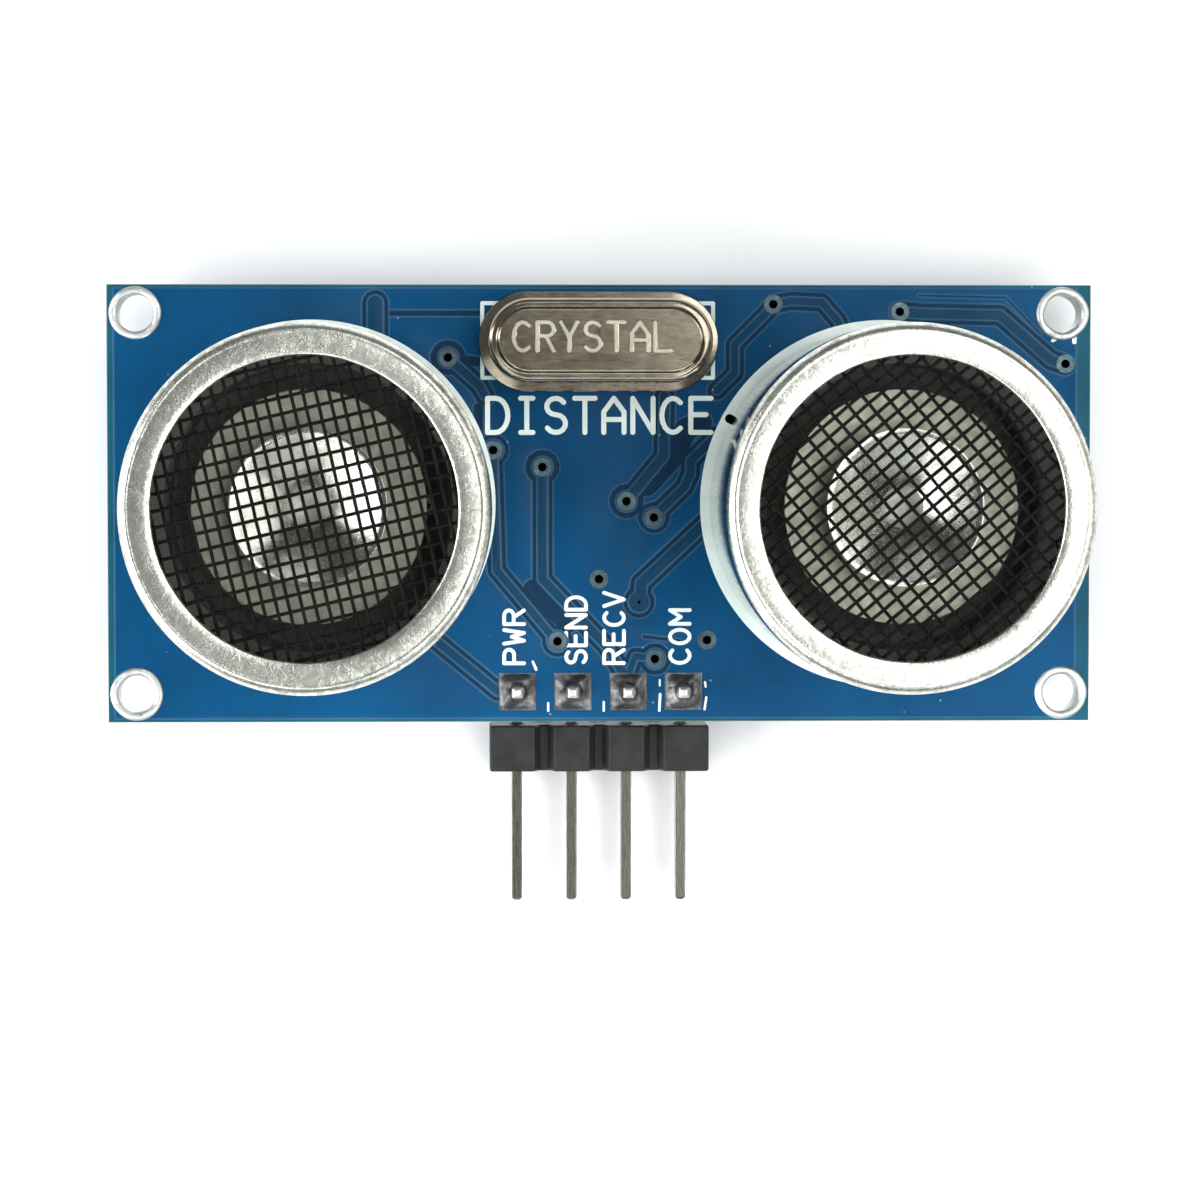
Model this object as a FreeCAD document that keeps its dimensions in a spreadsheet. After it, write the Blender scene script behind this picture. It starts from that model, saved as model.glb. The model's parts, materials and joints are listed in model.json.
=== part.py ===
"""Ultrasonic distance sensor module: a blue circuit board with a transmitter and a receiver in round
aluminium cans, a quartz crystal between them, a right-angle pin header and the driving circuit behind.

Frame: X runs along the board, Z up the board, and Y through it.  The origin is the middle of the four
corner holes on the board's front face, the cans stand out towards -Y and the header points down.
A piece on the front is built lying flat, with its own Z as its height above the board, and its
Placement stands it up.  A piece on the back is built the same way and turned round.
"""

import FreeCAD, Part
import math
import os
import re

import Sketcher
from FreeCAD import Placement, Rotation, Vector

doc = FreeCAD.newDocument("distance_sensor")

# ---------------------------------------------------------------- driving dimensions, in millimetres

DIMENSIONS = {
    "board_width": 45.0,
    "board_height": 20.0,
    "board_thickness": 1.6,
    "plating": 0.05,
    "corner_pitch_wide": 42.4,
    "corner_pitch_high": 17.4,
    "corner_hole": 1.8,
    "corner_ring": 2.45,
    "via_hole": 0.4,
    "via_ring": 0.86,
    "can_pitch": 26.0,
    "can_diameter": 16.0,
    "can_height": 12.3,
    "can_wall": 0.45,
    "can_lip": 0.4,
    "can_mouth": 13.1,
    "can_rounding": 0.55,
    "mesh_thickness": 0.3,
    "mesh_wire": 0.16,
    "mesh_opening_wide": 0.522,
    "mesh_opening_narrow": 0.372,
    "mesh_rim": 0.35,
    "base_bottom": 1.0,
    "base_floor": 3.0,
    "base_rim": 8.4,
    "base_rim_wall": 1.2,
    "fit_gap": 0.05,
    "post_radius": 4.6,
    "post_bore": 3.7,
    "post_top": 6.4,
    "ring_inner_radius": 3.6,
    "ring_outer_radius": 4.75,
    "plate_diameter": 10.3,
    "plate_bottom": 7.3,
    "plate_thickness": 0.3,
    "piezo_diameter": 6.4,
    "piezo_thickness": 0.5,
    "cone_diameter": 6.9,
    "cone_foot": 1.4,
    "cone_depth": 1.6,
    "cone_wall": 0.15,
    "sealant_bottom": 0.3,
    "terminal_pitch": 10.0,
    "terminal_diameter": 0.9,
    "terminal_top": 4.2,
    "terminal_end": 2.55,
    "terminal_point": 0.15,
    "terminal_hole": 1.2,
    "terminal_pad": 2.3,
    "wire_diameter": 0.2,
    "wire_rise": 0.4,
    "wire_inset": 0.4,
    "wire_gap": 0.02,
    "lead_end": 2.5,
    "crystal_side": -0.1,
    "crystal_up": 7.4,
    "crystal_seat": 0.1,
    "flange_length": 10.95,
    "flange_width": 4.55,
    "flange_thickness": 0.35,
    "crystal_length": 10.15,
    "crystal_width": 3.8,
    "crystal_height": 3.5,
    "crystal_wall": 0.25,
    "crystal_rounding": 0.4,
    "crystal_lead_pitch": 4.88,
    "crystal_lead": 0.43,
    "crystal_hole": 0.8,
    "crystal_pad": 1.7,
    "seal_diameter": 1.2,
    "blank_length": 8.0,
    "blank_width": 1.8,
    "blank_thickness": 0.25,
    "blank_height": 1.9,
    "clip_thickness": 0.12,
    "clip_width": 1.26,
    "header_pitch": 2.54,
    "header_row": 8.62,
    "header_top": 10.3,
    "header_body_height": 2.15,
    "header_depth": 2.5,
    "groove_mouth": 0.9,
    "groove_floor": 0.35,
    "groove_depth": 0.6,
    "pin_side": 0.5,
    "pin_axis_depth": 1.27,
    "pin_length": 6.1,
    "pin_proud": 0.9,
    "pin_bend": 0.6,
    "pin_point": 0.12,
    "header_hole": 0.9,
    "header_pad": 1.7,
    "solder_rise": 0.75,
    "joint_neck": 0.12,
    "joint_margin": 0.06,
    "joint_shoulder_reach": 0.13,
    "joint_shoulder_rise": 0.26,
    "chip_gap": 0.1,
    "chip_height": 1.45,
    "chip_width": 3.9,
    "chip_span": 6.0,
    "chip_draft": 0.12,
    "driver_length": 9.9,
    "controller_length": 8.65,
    "chip_pitch": 1.27,
    "chip_lead_width": 0.4,
    "chip_lead_thickness": 0.2,
    "chip_foot": 0.55,
    "chip_lead_slope": 0.14,
    "pin_one_inset": 0.9,
    "pin_one_diameter": 0.63,
    "pin_one_depth": 0.075,
    "die_side": 1.6,
    "die_thickness": 0.3,
    "transistor_length": 2.9,
    "transistor_width": 1.3,
    "transistor_height": 1.0,
    "transistor_span": 2.4,
    "transistor_foot": 0.25,
    "transistor_pitch": 0.95,
    "transistor_die": 0.5,
    "small_length": 1.6,
    "small_width": 0.8,
    "small_end": 0.3,
    "resistor_height": 0.45,
    "capacitor_height": 0.8,
}

sheet = doc.addObject("Spreadsheet::Sheet", "dims")
for line, (alias, value) in enumerate(DIMENSIONS.items(), start=1):
    sheet.set(f"A{line}", alias)
    sheet.set(f"B{line}", str(value))
    sheet.setAlias(f"B{line}", alias)
doc.recompute()

MESH_TURNS = {"transmitter": 12.5, "receiver": -52.5}  # how each mesh happens to lie, in degrees
PIN_NAMES = ("supply", "trigger", "echo", "ground")

# Plated holes that join the two faces of the board, as (side, up) from the middle of the board.
VIAS = (
    (-6.97, 6.67),
    (-4.91, 2.45),
    (-2.66, 1.67),
    (-0.07, -3.46),
    (1.19, 0.11),
    (2.45, -0.64),
    (-1.97, -6.31),
    (1.77, -4.52),
    (2.5, -7.13),
    (4.89, -6.26),
    (7.91, 9.11),
    (13.72, 8.78),
    (21.35, 6.4),
    (5.92, 3.88),
)

# Small parts on the back, as (side, up, turn), where 0 lies along the board and 90 stands up it.
RESISTORS = tuple((-5.0, 4.6 - 1.5 * step, 0) for step in range(7)) + (
    (20.2, 4.5, 90),
    (20.2, 2.2, 90),
    (20.2, -2.6, 90),
    (20.2, -5.0, 90),
    (7.4, -7.6, 0),
    (9.8, -7.6, 0),
    (12.2, -7.6, 0),
)
CAPACITORS = tuple((4.9, 4.6 - 1.5 * step, 0) for step in range(6)) + (
    (-20.2, 4.5, 90),
    (-20.2, 2.2, 90),
    (-20.2, -2.6, 90),
    (-7.6, -7.6, 0),
    (-10.2, -7.6, 0),
)
TRANSISTOR_AT = (9.6, 7.6)


def number(expression):
    """The value of an expression in the sheet's aliases."""
    return float(sheet.evalExpression(expression))


def bound(expression):
    """The same expression as another object writes it, with the sheet's name before each alias."""
    return re.sub(r"[a-z][a-z_]+", lambda alias: "dims." + alias.group(), expression)


# ---------------------------------------------------------------- where pieces stand

FLAT = Placement()


def on_front(side=0.0, up=0.0, turn=0.0):
    """Stands a flat-built piece on the board's front face."""
    stand = Rotation(Vector(1, 0, 0), 90)
    return Placement(Vector(side, 0, up), stand.multiply(Rotation(Vector(0, 0, 1), turn)))


def on_back(side=0.0, up=0.0, turn=0.0):
    """Stands a flat-built piece on the board's back face, turned round to face +Y."""
    stand = Rotation(Vector(1, 0, 0), 90).multiply(Rotation(Vector(0, 1, 0), 180))
    place = Vector(side, number("board_thickness"), up)
    return Placement(place, stand.multiply(Rotation(Vector(0, 0, 1), turn)))


# ---------------------------------------------------------------- sketches

def new_body(label, place=FLAT):
    body = doc.addObject("PartDesign::Body", label)
    body.Label = label
    body.Placement = place
    return body


def new_sketch(body, role, height="0"):
    """An empty sketch on one of the body's own origin planes, lifted off it by height."""
    support = next(plane for plane in body.Origin.OriginFeatures if plane.Role == role)
    sketch = body.newObject("Sketcher::SketchObject", body.Label + "_sketch")
    sketch.AttachmentSupport = (support, [""])
    sketch.MapMode = "FlatFace"
    if height != "0":
        sketch.setExpression(".AttachmentOffset.Base.z", bound(height))
    return sketch


def hold(sketch, edge, end, across, along):
    """Ties a point to the sketch's origin by two expressions."""
    for kind, axis, expression in (("DistanceX", -2, across), ("DistanceY", -1, along)):
        if number(expression) == 0:
            sketch.addConstraint(Sketcher.Constraint("PointOnObject", edge, end, axis))
            continue
        held = Sketcher.Constraint(kind, -1, 1, edge, end, number(expression))
        index = sketch.addConstraint(held)
        sketch.setExpression(f"Constraints[{index}]", bound(expression))


def add_polygon(sketch, corners):
    """Closes straight lines through corners, each a pair of expressions."""
    points = [Vector(number(across), number(along), 0) for across, along in corners]
    first = sketch.GeometryCount
    for start, end in zip(points, points[1:] + points[:1]):
        sketch.addGeometry(Part.LineSegment(start, end))
    for step, (across, along) in enumerate(corners):
        follower = first + (step + 1) % len(corners)
        sketch.addConstraint(Sketcher.Constraint("Coincident", first + step, 2, follower, 1))
        hold(sketch, first + step, 1, across, along)


def add_rectangle(sketch, width, depth, across="0", along="0"):
    left = f"{across} - ({width}) / 2"
    right = f"{across} + ({width}) / 2"
    low = f"{along} - ({depth}) / 2"
    high = f"{along} + ({depth}) / 2"
    add_polygon(sketch, ((left, low), (right, low), (right, high), (left, high)))


def add_circle(sketch, diameter, across="0", along="0"):
    centre = Vector(number(across), number(along), 0)
    edge = sketch.addGeometry(Part.Circle(centre, Vector(0, 0, 1), number(diameter) / 2))
    index = sketch.addConstraint(Sketcher.Constraint("Diameter", edge, number(diameter)))
    sketch.setExpression(f"Constraints[{index}]", bound(diameter))
    hold(sketch, edge, 3, across, along)


def add_stadium(sketch, length, width):
    """Two straight sides joined by half circles, centred on the sketch's origin."""
    radius = number(width) / 2
    reach = (number(length) - number(width)) / 2
    normal = Vector(0, 0, 1)
    quarter = math.pi / 2
    top = sketch.addGeometry(Part.LineSegment(Vector(reach, radius, 0), Vector(-reach, radius, 0)))
    left_circle = Part.Circle(Vector(-reach, 0, 0), normal, radius)
    left = sketch.addGeometry(Part.ArcOfCircle(left_circle, quarter, 3 * quarter))
    low = sketch.addGeometry(Part.LineSegment(Vector(-reach, -radius, 0), Vector(reach, -radius, 0)))
    right_circle = Part.Circle(Vector(reach, 0, 0), normal, radius)
    right = sketch.addGeometry(Part.ArcOfCircle(right_circle, -quarter, quarter))
    for before, after in ((top, left), (left, low), (low, right), (right, top)):
        sketch.addConstraint(Sketcher.Constraint("Tangent", before, 2, after, 1))
    sketch.addConstraint(Sketcher.Constraint("Horizontal", top))
    hold(sketch, left, 3, f"-(({length}) - ({width})) / 2", "0")
    hold(sketch, right, 3, f"(({length}) - ({width})) / 2", "0")
    index = sketch.addConstraint(Sketcher.Constraint("Radius", right, radius))
    sketch.setExpression(f"Constraints[{index}]", bound(f"({width}) / 2"))


# ---------------------------------------------------------------- features

def pad(body, sketch, length, side="One side"):
    feature = body.newObject("PartDesign::Pad", body.Label + "_pad")
    feature.Profile = sketch
    feature.SideType = side
    feature.setExpression("Length", bound(length))
    doc.recompute()
    return feature


def pocket(body, sketch, length, backwards=False):
    """Cuts into the body, or raises an error if nothing was cut."""
    before = body.Shape.Volume
    feature = body.newObject("PartDesign::Pocket", body.Label + "_pocket")
    feature.Profile = sketch
    feature.Reversed = backwards
    feature.setExpression("Length", bound(length))
    doc.recompute()
    if not body.Shape.Volume < before - 1e-6:
        raise ValueError(f"{feature.Label} cuts nothing")


def turned(label, corners, place):
    """A body turned about its own Z axis, from corners given as (radius, height)."""
    body = new_body(label, place)
    sketch = new_sketch(body, "XZ_Plane")
    add_polygon(sketch, corners)
    feature = body.newObject("PartDesign::Revolution", label + "_turn")
    feature.Profile = sketch
    feature.ReferenceAxis = (sketch, ["V_Axis"])
    feature.Angle = 360
    doc.recompute()
    return body


def extruded(label, outline, height, thickness, place):
    """A body raised from the plane at height; outline draws in the sketch it is given."""
    body = new_body(label, place)
    sketch = new_sketch(body, "XY_Plane", height)
    outline(sketch)
    pad(body, sketch, thickness)
    return body


def cut_hole(body, outline, height, depth):
    """Cuts down from height by depth; outline draws in the sketch it is given."""
    sketch = new_sketch(body, "XY_Plane", height)
    outline(sketch)
    pocket(body, sketch, depth)


def round_edges(body, radius, wanted, kind="Fillet"):
    """Rounds or chamfers the edges for which wanted(edge) is true, in the body's own frame."""
    base = body.Tip
    names = [f"Edge{i}" for i, edge in enumerate(base.Shape.Edges, start=1) if wanted(edge)]
    feature = body.newObject("PartDesign::" + kind, body.Label + "_" + kind.lower())
    feature.Base = (base, names)
    feature.setExpression("Radius" if kind == "Fillet" else "Size", bound(radius))
    doc.recompute()


def edge_at(height, radius=None):
    """Picks edges that lie level at a height, and on a circle of a radius if one is given."""
    def wanted(edge):
        level = all(abs(v.Point.z - height) < 1e-4 for v in edge.Vertexes)
        flat = level and abs(edge.CenterOfMass.z - height) < 1e-4
        if radius is None:
            return flat
        return flat and hasattr(edge.Curve, "Radius") and abs(edge.Curve.Radius - radius) < 1e-4

    return wanted


def copies(label, template, places):
    """One sub-part made of separate copies of a flat-built shape."""
    group = doc.addObject("Part::Feature", label)
    group.Label = label
    group.Shape = Part.makeCompound([placed(template, place) for place in places])
    return group


def placed(shape, place):
    """A copy of a flat-built shape, moved to its place."""
    copy = shape.copy()
    copy.Placement = place.multiply(shape.Placement)
    return copy


# ---------------------------------------------------------------- board

def corner_places():
    wide = number("corner_pitch_wide / 2")
    high = number("corner_pitch_high / 2")
    return [(side * wide, up * high) for side in (-1, 1) for up in (-1, 1)]


def header_places():
    pitch = number("header_pitch")
    return [((i - 1.5) * pitch, -number("header_row")) for i in range(len(PIN_NAMES))]


def can_sides():
    half = number("can_pitch / 2")
    return {"transmitter": -half, "receiver": half}


def terminal_places():
    half = number("terminal_pitch / 2")
    return [(side + end * half, 0.0) for side in can_sides().values() for end in (-1, 1)]


def crystal_lead_places():
    half = number("crystal_lead_pitch / 2")
    side, up = number("crystal_side"), number("crystal_up")
    return [(side - half, up), (side + half, up)]


def circuit_board():
    """The glass-epoxy laminate, with every hole drilled over-size for its plating."""
    body = new_body("circuit_board", on_front())
    outline = new_sketch(body, "XY_Plane")
    add_rectangle(outline, "board_width", "board_height")
    blank = pad(body, outline, "board_thickness")
    blank.Reversed = True
    doc.recompute()
    groups = (
        ("corner_hole", corner_places()),
        ("via_hole", VIAS),
        ("header_hole", header_places()),
        ("terminal_hole", terminal_places()),
        ("crystal_hole", crystal_lead_places()),
    )
    for hole, places in groups:
        drilled = new_sketch(body, "XY_Plane")
        for side, up in places:
            add_circle(drilled, f"{hole} + 2 * plating", str(side), str(up))
        pocket(body, drilled, "board_thickness")
    return body


def eyelet(label, hole, ring, rear_ring=True):
    """The plating of one hole: a thin tube with a flat ring on the front and, if asked, on the back."""
    inner = f"{hole} / 2"
    outer = f"{hole} / 2 + plating"
    edge = f"{ring} / 2"
    front = [(inner, "plating"), (inner, "-board_thickness"), (outer, "-board_thickness")]
    if rear_ring:
        front = [
            (inner, "plating"),
            (inner, "-board_thickness - plating"),
            (edge, "-board_thickness - plating"),
            (edge, "-board_thickness"),
            (outer, "-board_thickness"),
        ]
    corners = front + [(outer, "0"), (edge, "0"), (edge, "plating")]
    return turned(label, corners, FLAT).Shape


def plated_holes():
    corner = eyelet("corner_eyelet", "corner_hole", "corner_ring")
    via = eyelet("via_eyelet", "via_hole", "via_ring", rear_ring=False)
    header = eyelet("header_eyelet", "header_hole", "header_pad")
    terminal = eyelet("terminal_eyelet", "terminal_hole", "terminal_pad")
    crystal = eyelet("crystal_eyelet", "crystal_hole", "crystal_pad")
    leads = [(header, place) for place in header_places()]
    leads += [(terminal, place) for place in terminal_places()]
    leads += [(crystal, place) for place in crystal_lead_places()]
    lead_rings = doc.addObject("Part::Feature", "lead_hole_rings")
    lead_rings.Label = "lead_hole_rings"
    lead_rings.Shape = Part.makeCompound([placed(ring, on_front(*place)) for ring, place in leads])
    return [
        copies("corner_hole_rings", corner, [on_front(*place) for place in corner_places()]),
        copies("via_barrels", via, [on_front(*place) for place in VIAS]),
        lead_rings,
    ]


def solder_joint(label, hole, ring, lead, square=False):
    """Solder that fills one plated hole round its lead and climbs the lead above the ring."""
    neck = f"{lead} / 2 + joint_neck"
    top = "plating + solder_rise"
    corners = (
        ("0", "-board_thickness"),
        (f"{hole} / 2", "-board_thickness"),
        (f"{hole} / 2", "plating"),
        (f"{ring} / 2 - joint_margin", "plating"),
        (f"{neck} + joint_shoulder_reach", "plating + joint_shoulder_rise"),
        (neck, top),
        ("0", top),
    )
    body = turned(label, corners, FLAT)

    def lead_outline(sketch):
        if square:
            add_rectangle(sketch, lead, lead)
        else:
            add_circle(sketch, lead)

    cut_hole(body, lead_outline, top, f"board_thickness + {top}")
    return body.Shape


def solder():
    header = solder_joint("header_joint", "header_hole", "header_pad", "pin_side", square=True)
    terminal = solder_joint("terminal_joint", "terminal_hole", "terminal_pad", "terminal_diameter")
    crystal = solder_joint("crystal_joint", "crystal_hole", "crystal_pad", "crystal_lead")
    crystal_leads = [on_back(*place) for place in crystal_lead_places()]
    return [
        copies("header_solder", header, [on_front(*place) for place in header_places()]),
        copies("transducer_solder", terminal, [on_back(*place) for place in terminal_places()]),
        copies("crystal_solder", crystal, crystal_leads),
    ]


# ---------------------------------------------------------------- transmitter and receiver

def can(name, place):
    """The drawn aluminium can, with its front edge rounded and turned in over the mesh."""
    outer = "can_diameter / 2"
    inner = "can_diameter / 2 - can_wall"
    mouth = "can_mouth / 2"
    corners = (
        (inner, "0"),
        (outer, "0"),
        (outer, "can_height"),
        (mouth, "can_height"),
        (mouth, "can_height - can_lip"),
        (inner, "can_height - can_lip"),
    )
    body = turned(f"{name}_case", corners, place)
    front_edge = edge_at(number("can_height"), number(outer))
    round_edges(body, "can_rounding", front_edge)
    return body


def mesh(name, place):
    """The protective screen: a disc pierced by rows of oblong openings between its wires."""
    radius = number("can_diameter / 2 - can_wall - fit_gap")
    wide, narrow = number("mesh_opening_wide"), number("mesh_opening_narrow")
    wire = number("mesh_wire")
    reach = radius - number("mesh_rim")
    rows = int(reach / (wide + wire)) + 1
    columns = int(reach / (narrow + wire)) + 1
    openings = []
    for row in range(-rows, rows + 1):
        for column in range(-columns, columns + 1):
            low = Vector((column - 0.5) * (narrow + wire), (row - 0.5) * (wide + wire), 0)
            high = low + Vector(narrow, wide, 0)
            corners = [low, Vector(high.x, low.y, 0), high, Vector(low.x, high.y, 0)]
            if max(corner.Length for corner in corners) < reach:
                openings.append(Part.makePolygon(corners + corners[:1]))
    rim = Part.Wire(Part.makeCircle(radius))
    pierced = Part.makeFace([rim] + openings, "Part::FaceMakerBullseye")
    thickness = number("mesh_thickness")
    screen = doc.addObject("Part::Feature", f"{name}_mesh")
    screen.Label = f"{name}_mesh"
    screen.Shape = pierced.extrude(Vector(0, 0, thickness))
    under_lip = Placement(Vector(0, 0, number("can_height - can_lip") - thickness), Rotation())
    turn = Placement(Vector(), Rotation(Vector(0, 0, 1), MESH_TURNS[name]))
    screen.Placement = place.multiply(under_lip).multiply(turn)
    return screen


def cone(name, place):
    """The thin metal horn that stands on the vibrating plate, open towards the mesh."""
    foot = "plate_bottom + plate_thickness"
    corners = (
        ("0", foot),
        ("cone_foot / 2", foot),
        ("cone_diameter / 2", f"{foot} + cone_depth"),
        ("cone_diameter / 2 - cone_wall", f"{foot} + cone_depth"),
        ("cone_foot / 2 - cone_wall", f"{foot} + cone_wall"),
        ("0", f"{foot} + cone_wall"),
    )
    return turned(f"{name}_cone", corners, place)


def disc(label, diameter, bottom, thickness, place):
    return extruded(label, lambda sketch: add_circle(sketch, diameter), bottom, thickness, place)


def support_ring(name, place):
    """The soft ring between the base's post and the vibrating plate."""
    corners = (
        ("ring_inner_radius", "post_top"),
        ("ring_outer_radius", "post_top"),
        ("ring_outer_radius", "plate_bottom"),
        ("ring_inner_radius", "plate_bottom"),
    )
    return turned(f"{name}_support_ring", corners, place)


def base(name, place):
    """The black moulded cup that carries the plate on a hollow post and holds the two terminals."""
    outer = "can_diameter / 2 - can_wall - fit_gap"
    corners = (
        ("0", "base_bottom"),
        (outer, "base_bottom"),
        (outer, "base_rim"),
        (f"{outer} - base_rim_wall", "base_rim"),
        (f"{outer} - base_rim_wall", "base_floor"),
        ("post_radius", "base_floor"),
        ("post_radius", "post_top"),
        ("post_bore", "post_top"),
        ("post_bore", "base_floor"),
        ("0", "base_floor"),
    )
    body = turned(f"{name}_base", corners, place)

    def terminal_holes(sketch):
        for end in ("-", ""):
            add_circle(sketch, "terminal_diameter", f"{end}terminal_pitch / 2")

    cut_hole(body, terminal_holes, "base_rim", "base_rim - base_bottom")
    return body


def sealant(name, place):
    """The resin that closes the back of the can round the terminals."""
    diameter = "can_diameter - 2 * can_wall - 2 * fit_gap"
    depth = "base_bottom - sealant_bottom"

    def outline(sketch):
        add_circle(sketch, diameter)
        for end in ("-", ""):
            add_circle(sketch, "terminal_diameter", f"{end}terminal_pitch / 2")

    return extruded(f"{name}_sealant", outline, "sealant_bottom", depth, place)


def terminal(name, side_name, end, place):
    """One round pin, from inside the base down through the board."""
    def outline(sketch):
        add_circle(sketch, "terminal_diameter", f"{end}terminal_pitch / 2")

    label = f"{name}_terminal_{side_name}"
    body = extruded(label, outline, "-terminal_end", "terminal_top + terminal_end", place)
    round_edges(body, "terminal_point", edge_at(number("-terminal_end")), "Chamfer")
    return body


def lead_wire(name, side_name, direction, place):
    """The fine wire from a terminal's head to the edge of the plate or to the disc under it."""
    start = number("terminal_pitch / 2")
    wire = number("wire_diameter / 2")
    low = number("terminal_top") + wire
    high = number("plate_bottom") - wire
    reach = number("plate_diameter / 2 - wire_inset")
    if side_name == "live":
        reach = number("ring_outer_radius + wire_diameter")
    rise = number("wire_rise")
    points = [
        Vector(direction * start, 0, low),
        Vector(direction * (start + rise / 2), 0, low + rise),
        Vector(direction * (start + rise / 2), 0, (low + high) / 2),
        Vector(direction * reach, 0, high - number("wire_gap")),
    ]
    spine = Part.Wire([Part.makeLine(a, b) for a, b in zip(points, points[1:])])
    section = Part.Wire(Part.makeCircle(wire, points[0], points[1] - points[0]))
    piece = doc.addObject("Part::Feature", f"{name}_wire_{side_name}")
    piece.Label = f"{name}_wire_{side_name}"
    piece.Shape = spine.makePipeShell([section], True, False, 2)
    piece.Placement = place
    return piece


def transducer(name, side):
    place = on_front(side)
    plate_top = "plate_bottom - piezo_thickness"
    pieces = [
        can(name, place),
        mesh(name, place),
        cone(name, place),
        disc(f"{name}_plate", "plate_diameter", "plate_bottom", "plate_thickness", place),
        disc(f"{name}_piezo_disc", "piezo_diameter", plate_top, "piezo_thickness", place),
        support_ring(name, place),
        base(name, place),
        sealant(name, place),
    ]
    for side_name, end, direction in (("live", "-", -1), ("ground", "", 1)):
        pieces.append(terminal(name, side_name, end, place))
        pieces.append(lead_wire(name, side_name, direction, place))
    return pieces


# ---------------------------------------------------------------- crystal

def crystal():
    place = on_front(number("crystal_side"), number("crystal_up"))
    rim = "crystal_seat + flange_thickness"
    half_pitch = "crystal_lead_pitch / 2"

    cover = extruded(
        "crystal_can",
        lambda sketch: add_stadium(sketch, "crystal_length", "crystal_width"),
        rim,
        f"crystal_height - ({rim})",
        place,
    )
    round_edges(cover, "crystal_rounding", edge_at(number("crystal_height")))
    hollow = new_sketch(cover, "XY_Plane", rim)
    add_stadium(hollow, "crystal_length - 2 * crystal_wall", "crystal_width - 2 * crystal_wall")
    pocket(cover, hollow, f"crystal_height - crystal_wall - ({rim})", backwards=True)

    def seal_holes(sketch):
        for end in ("-", ""):
            add_circle(sketch, "seal_diameter", f"{end}{half_pitch}")

    flange = extruded(
        "crystal_base",
        lambda sketch: add_stadium(sketch, "flange_length", "flange_width"),
        "crystal_seat",
        "flange_thickness",
        place,
    )
    plug = new_sketch(flange, "XY_Plane", rim)
    length = "crystal_length - 2 * crystal_wall - 2 * fit_gap"
    add_stadium(plug, length, "crystal_width - 2 * crystal_wall - 2 * fit_gap")
    pad(flange, plug, "flange_thickness")
    plug_top = "crystal_seat + 2 * flange_thickness"
    cut_hole(flange, seal_holes, plug_top, "2 * flange_thickness")

    seal = turned(
        "crystal_seal",
        (
            ("crystal_lead / 2", "crystal_seat"),
            ("seal_diameter / 2", "crystal_seat"),
            ("seal_diameter / 2", plug_top),
            ("crystal_lead / 2", plug_top),
        ),
        FLAT,
    )
    lead = extruded(
        "crystal_lead",
        lambda sketch: add_circle(sketch, "crystal_lead"),
        "-lead_end",
        "lead_end + crystal_seat + 3 * flange_thickness",
        FLAT,
    )
    lead_places = [on_front(*lead_place) for lead_place in crystal_lead_places()]

    blank = extruded(
        "quartz_blank",
        lambda sketch: add_rectangle(sketch, "blank_length", "blank_width"),
        "blank_height",
        "blank_thickness",
        place,
    )

    clip = new_body("quartz_clip")
    foot = "crystal_seat + 3 * flange_thickness"
    shelf = "blank_height - clip_thickness"
    reach = "(blank_length - crystal_lead_pitch) / 2"
    bent_strip = new_sketch(clip, "XZ_Plane")
    add_polygon(
        bent_strip,
        (
            ("-crystal_lead / 2", foot),
            ("crystal_lead / 2 + clip_thickness", foot),
            ("crystal_lead / 2 + clip_thickness", shelf),
            (reach, shelf),
            (reach, f"{shelf} + clip_thickness"),
            ("crystal_lead / 2", f"{shelf} + clip_thickness"),
            ("crystal_lead / 2", f"{foot} + clip_thickness"),
            ("-crystal_lead / 2", f"{foot} + clip_thickness"),
        ),
    )
    pad(clip, bent_strip, "clip_width", "Symmetric")
    (left_side, up), (right_side, _) = crystal_lead_places()
    clip_places = [on_front(left_side, up, 180), on_front(right_side, up)]

    return [
        cover,
        flange,
        copies("crystal_glass_seals", seal.Shape, lead_places),
        copies("crystal_leads", lead.Shape, lead_places),
        blank,
        copies("quartz_clips", clip.Shape, clip_places),
    ]


# ---------------------------------------------------------------- pin header

def header_body():
    """The black strip below the board's lower edge, grooved between its four blocks."""
    body = new_body("header_body")
    outline = new_sketch(body, "XY_Plane", "-header_top - header_body_height")
    half = "2 * header_pitch"
    front = "board_thickness"
    back = "board_thickness + header_depth"
    corners = [(f"-{half}", front)]
    for step in (-1, 0, 1):
        middle = f"{step} * header_pitch"
        corners += [
            (f"{middle} - groove_mouth / 2", front),
            (f"{middle} - groove_floor / 2", f"{front} + groove_depth"),
            (f"{middle} + groove_floor / 2", f"{front} + groove_depth"),
            (f"{middle} + groove_mouth / 2", front),
        ]
    corners += [(half, front), (half, back)]
    for step in (1, 0, -1):
        middle = f"{step} * header_pitch"
        corners += [
            (f"{middle} + groove_mouth / 2", back),
            (f"{middle} + groove_floor / 2", f"{back} - groove_depth"),
            (f"{middle} - groove_floor / 2", f"{back} - groove_depth"),
            (f"{middle} - groove_mouth / 2", back),
        ]
    corners.append((f"-{half}", back))
    add_polygon(outline, corners)
    pad(body, outline, "header_body_height")

    holes = new_sketch(body, "XY_Plane", "-header_top")
    for side, _ in header_places():
        add_rectangle(holes, "pin_side", "pin_side", str(side), "board_thickness + pin_axis_depth")
    pocket(body, holes, "header_body_height")
    return body


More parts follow.
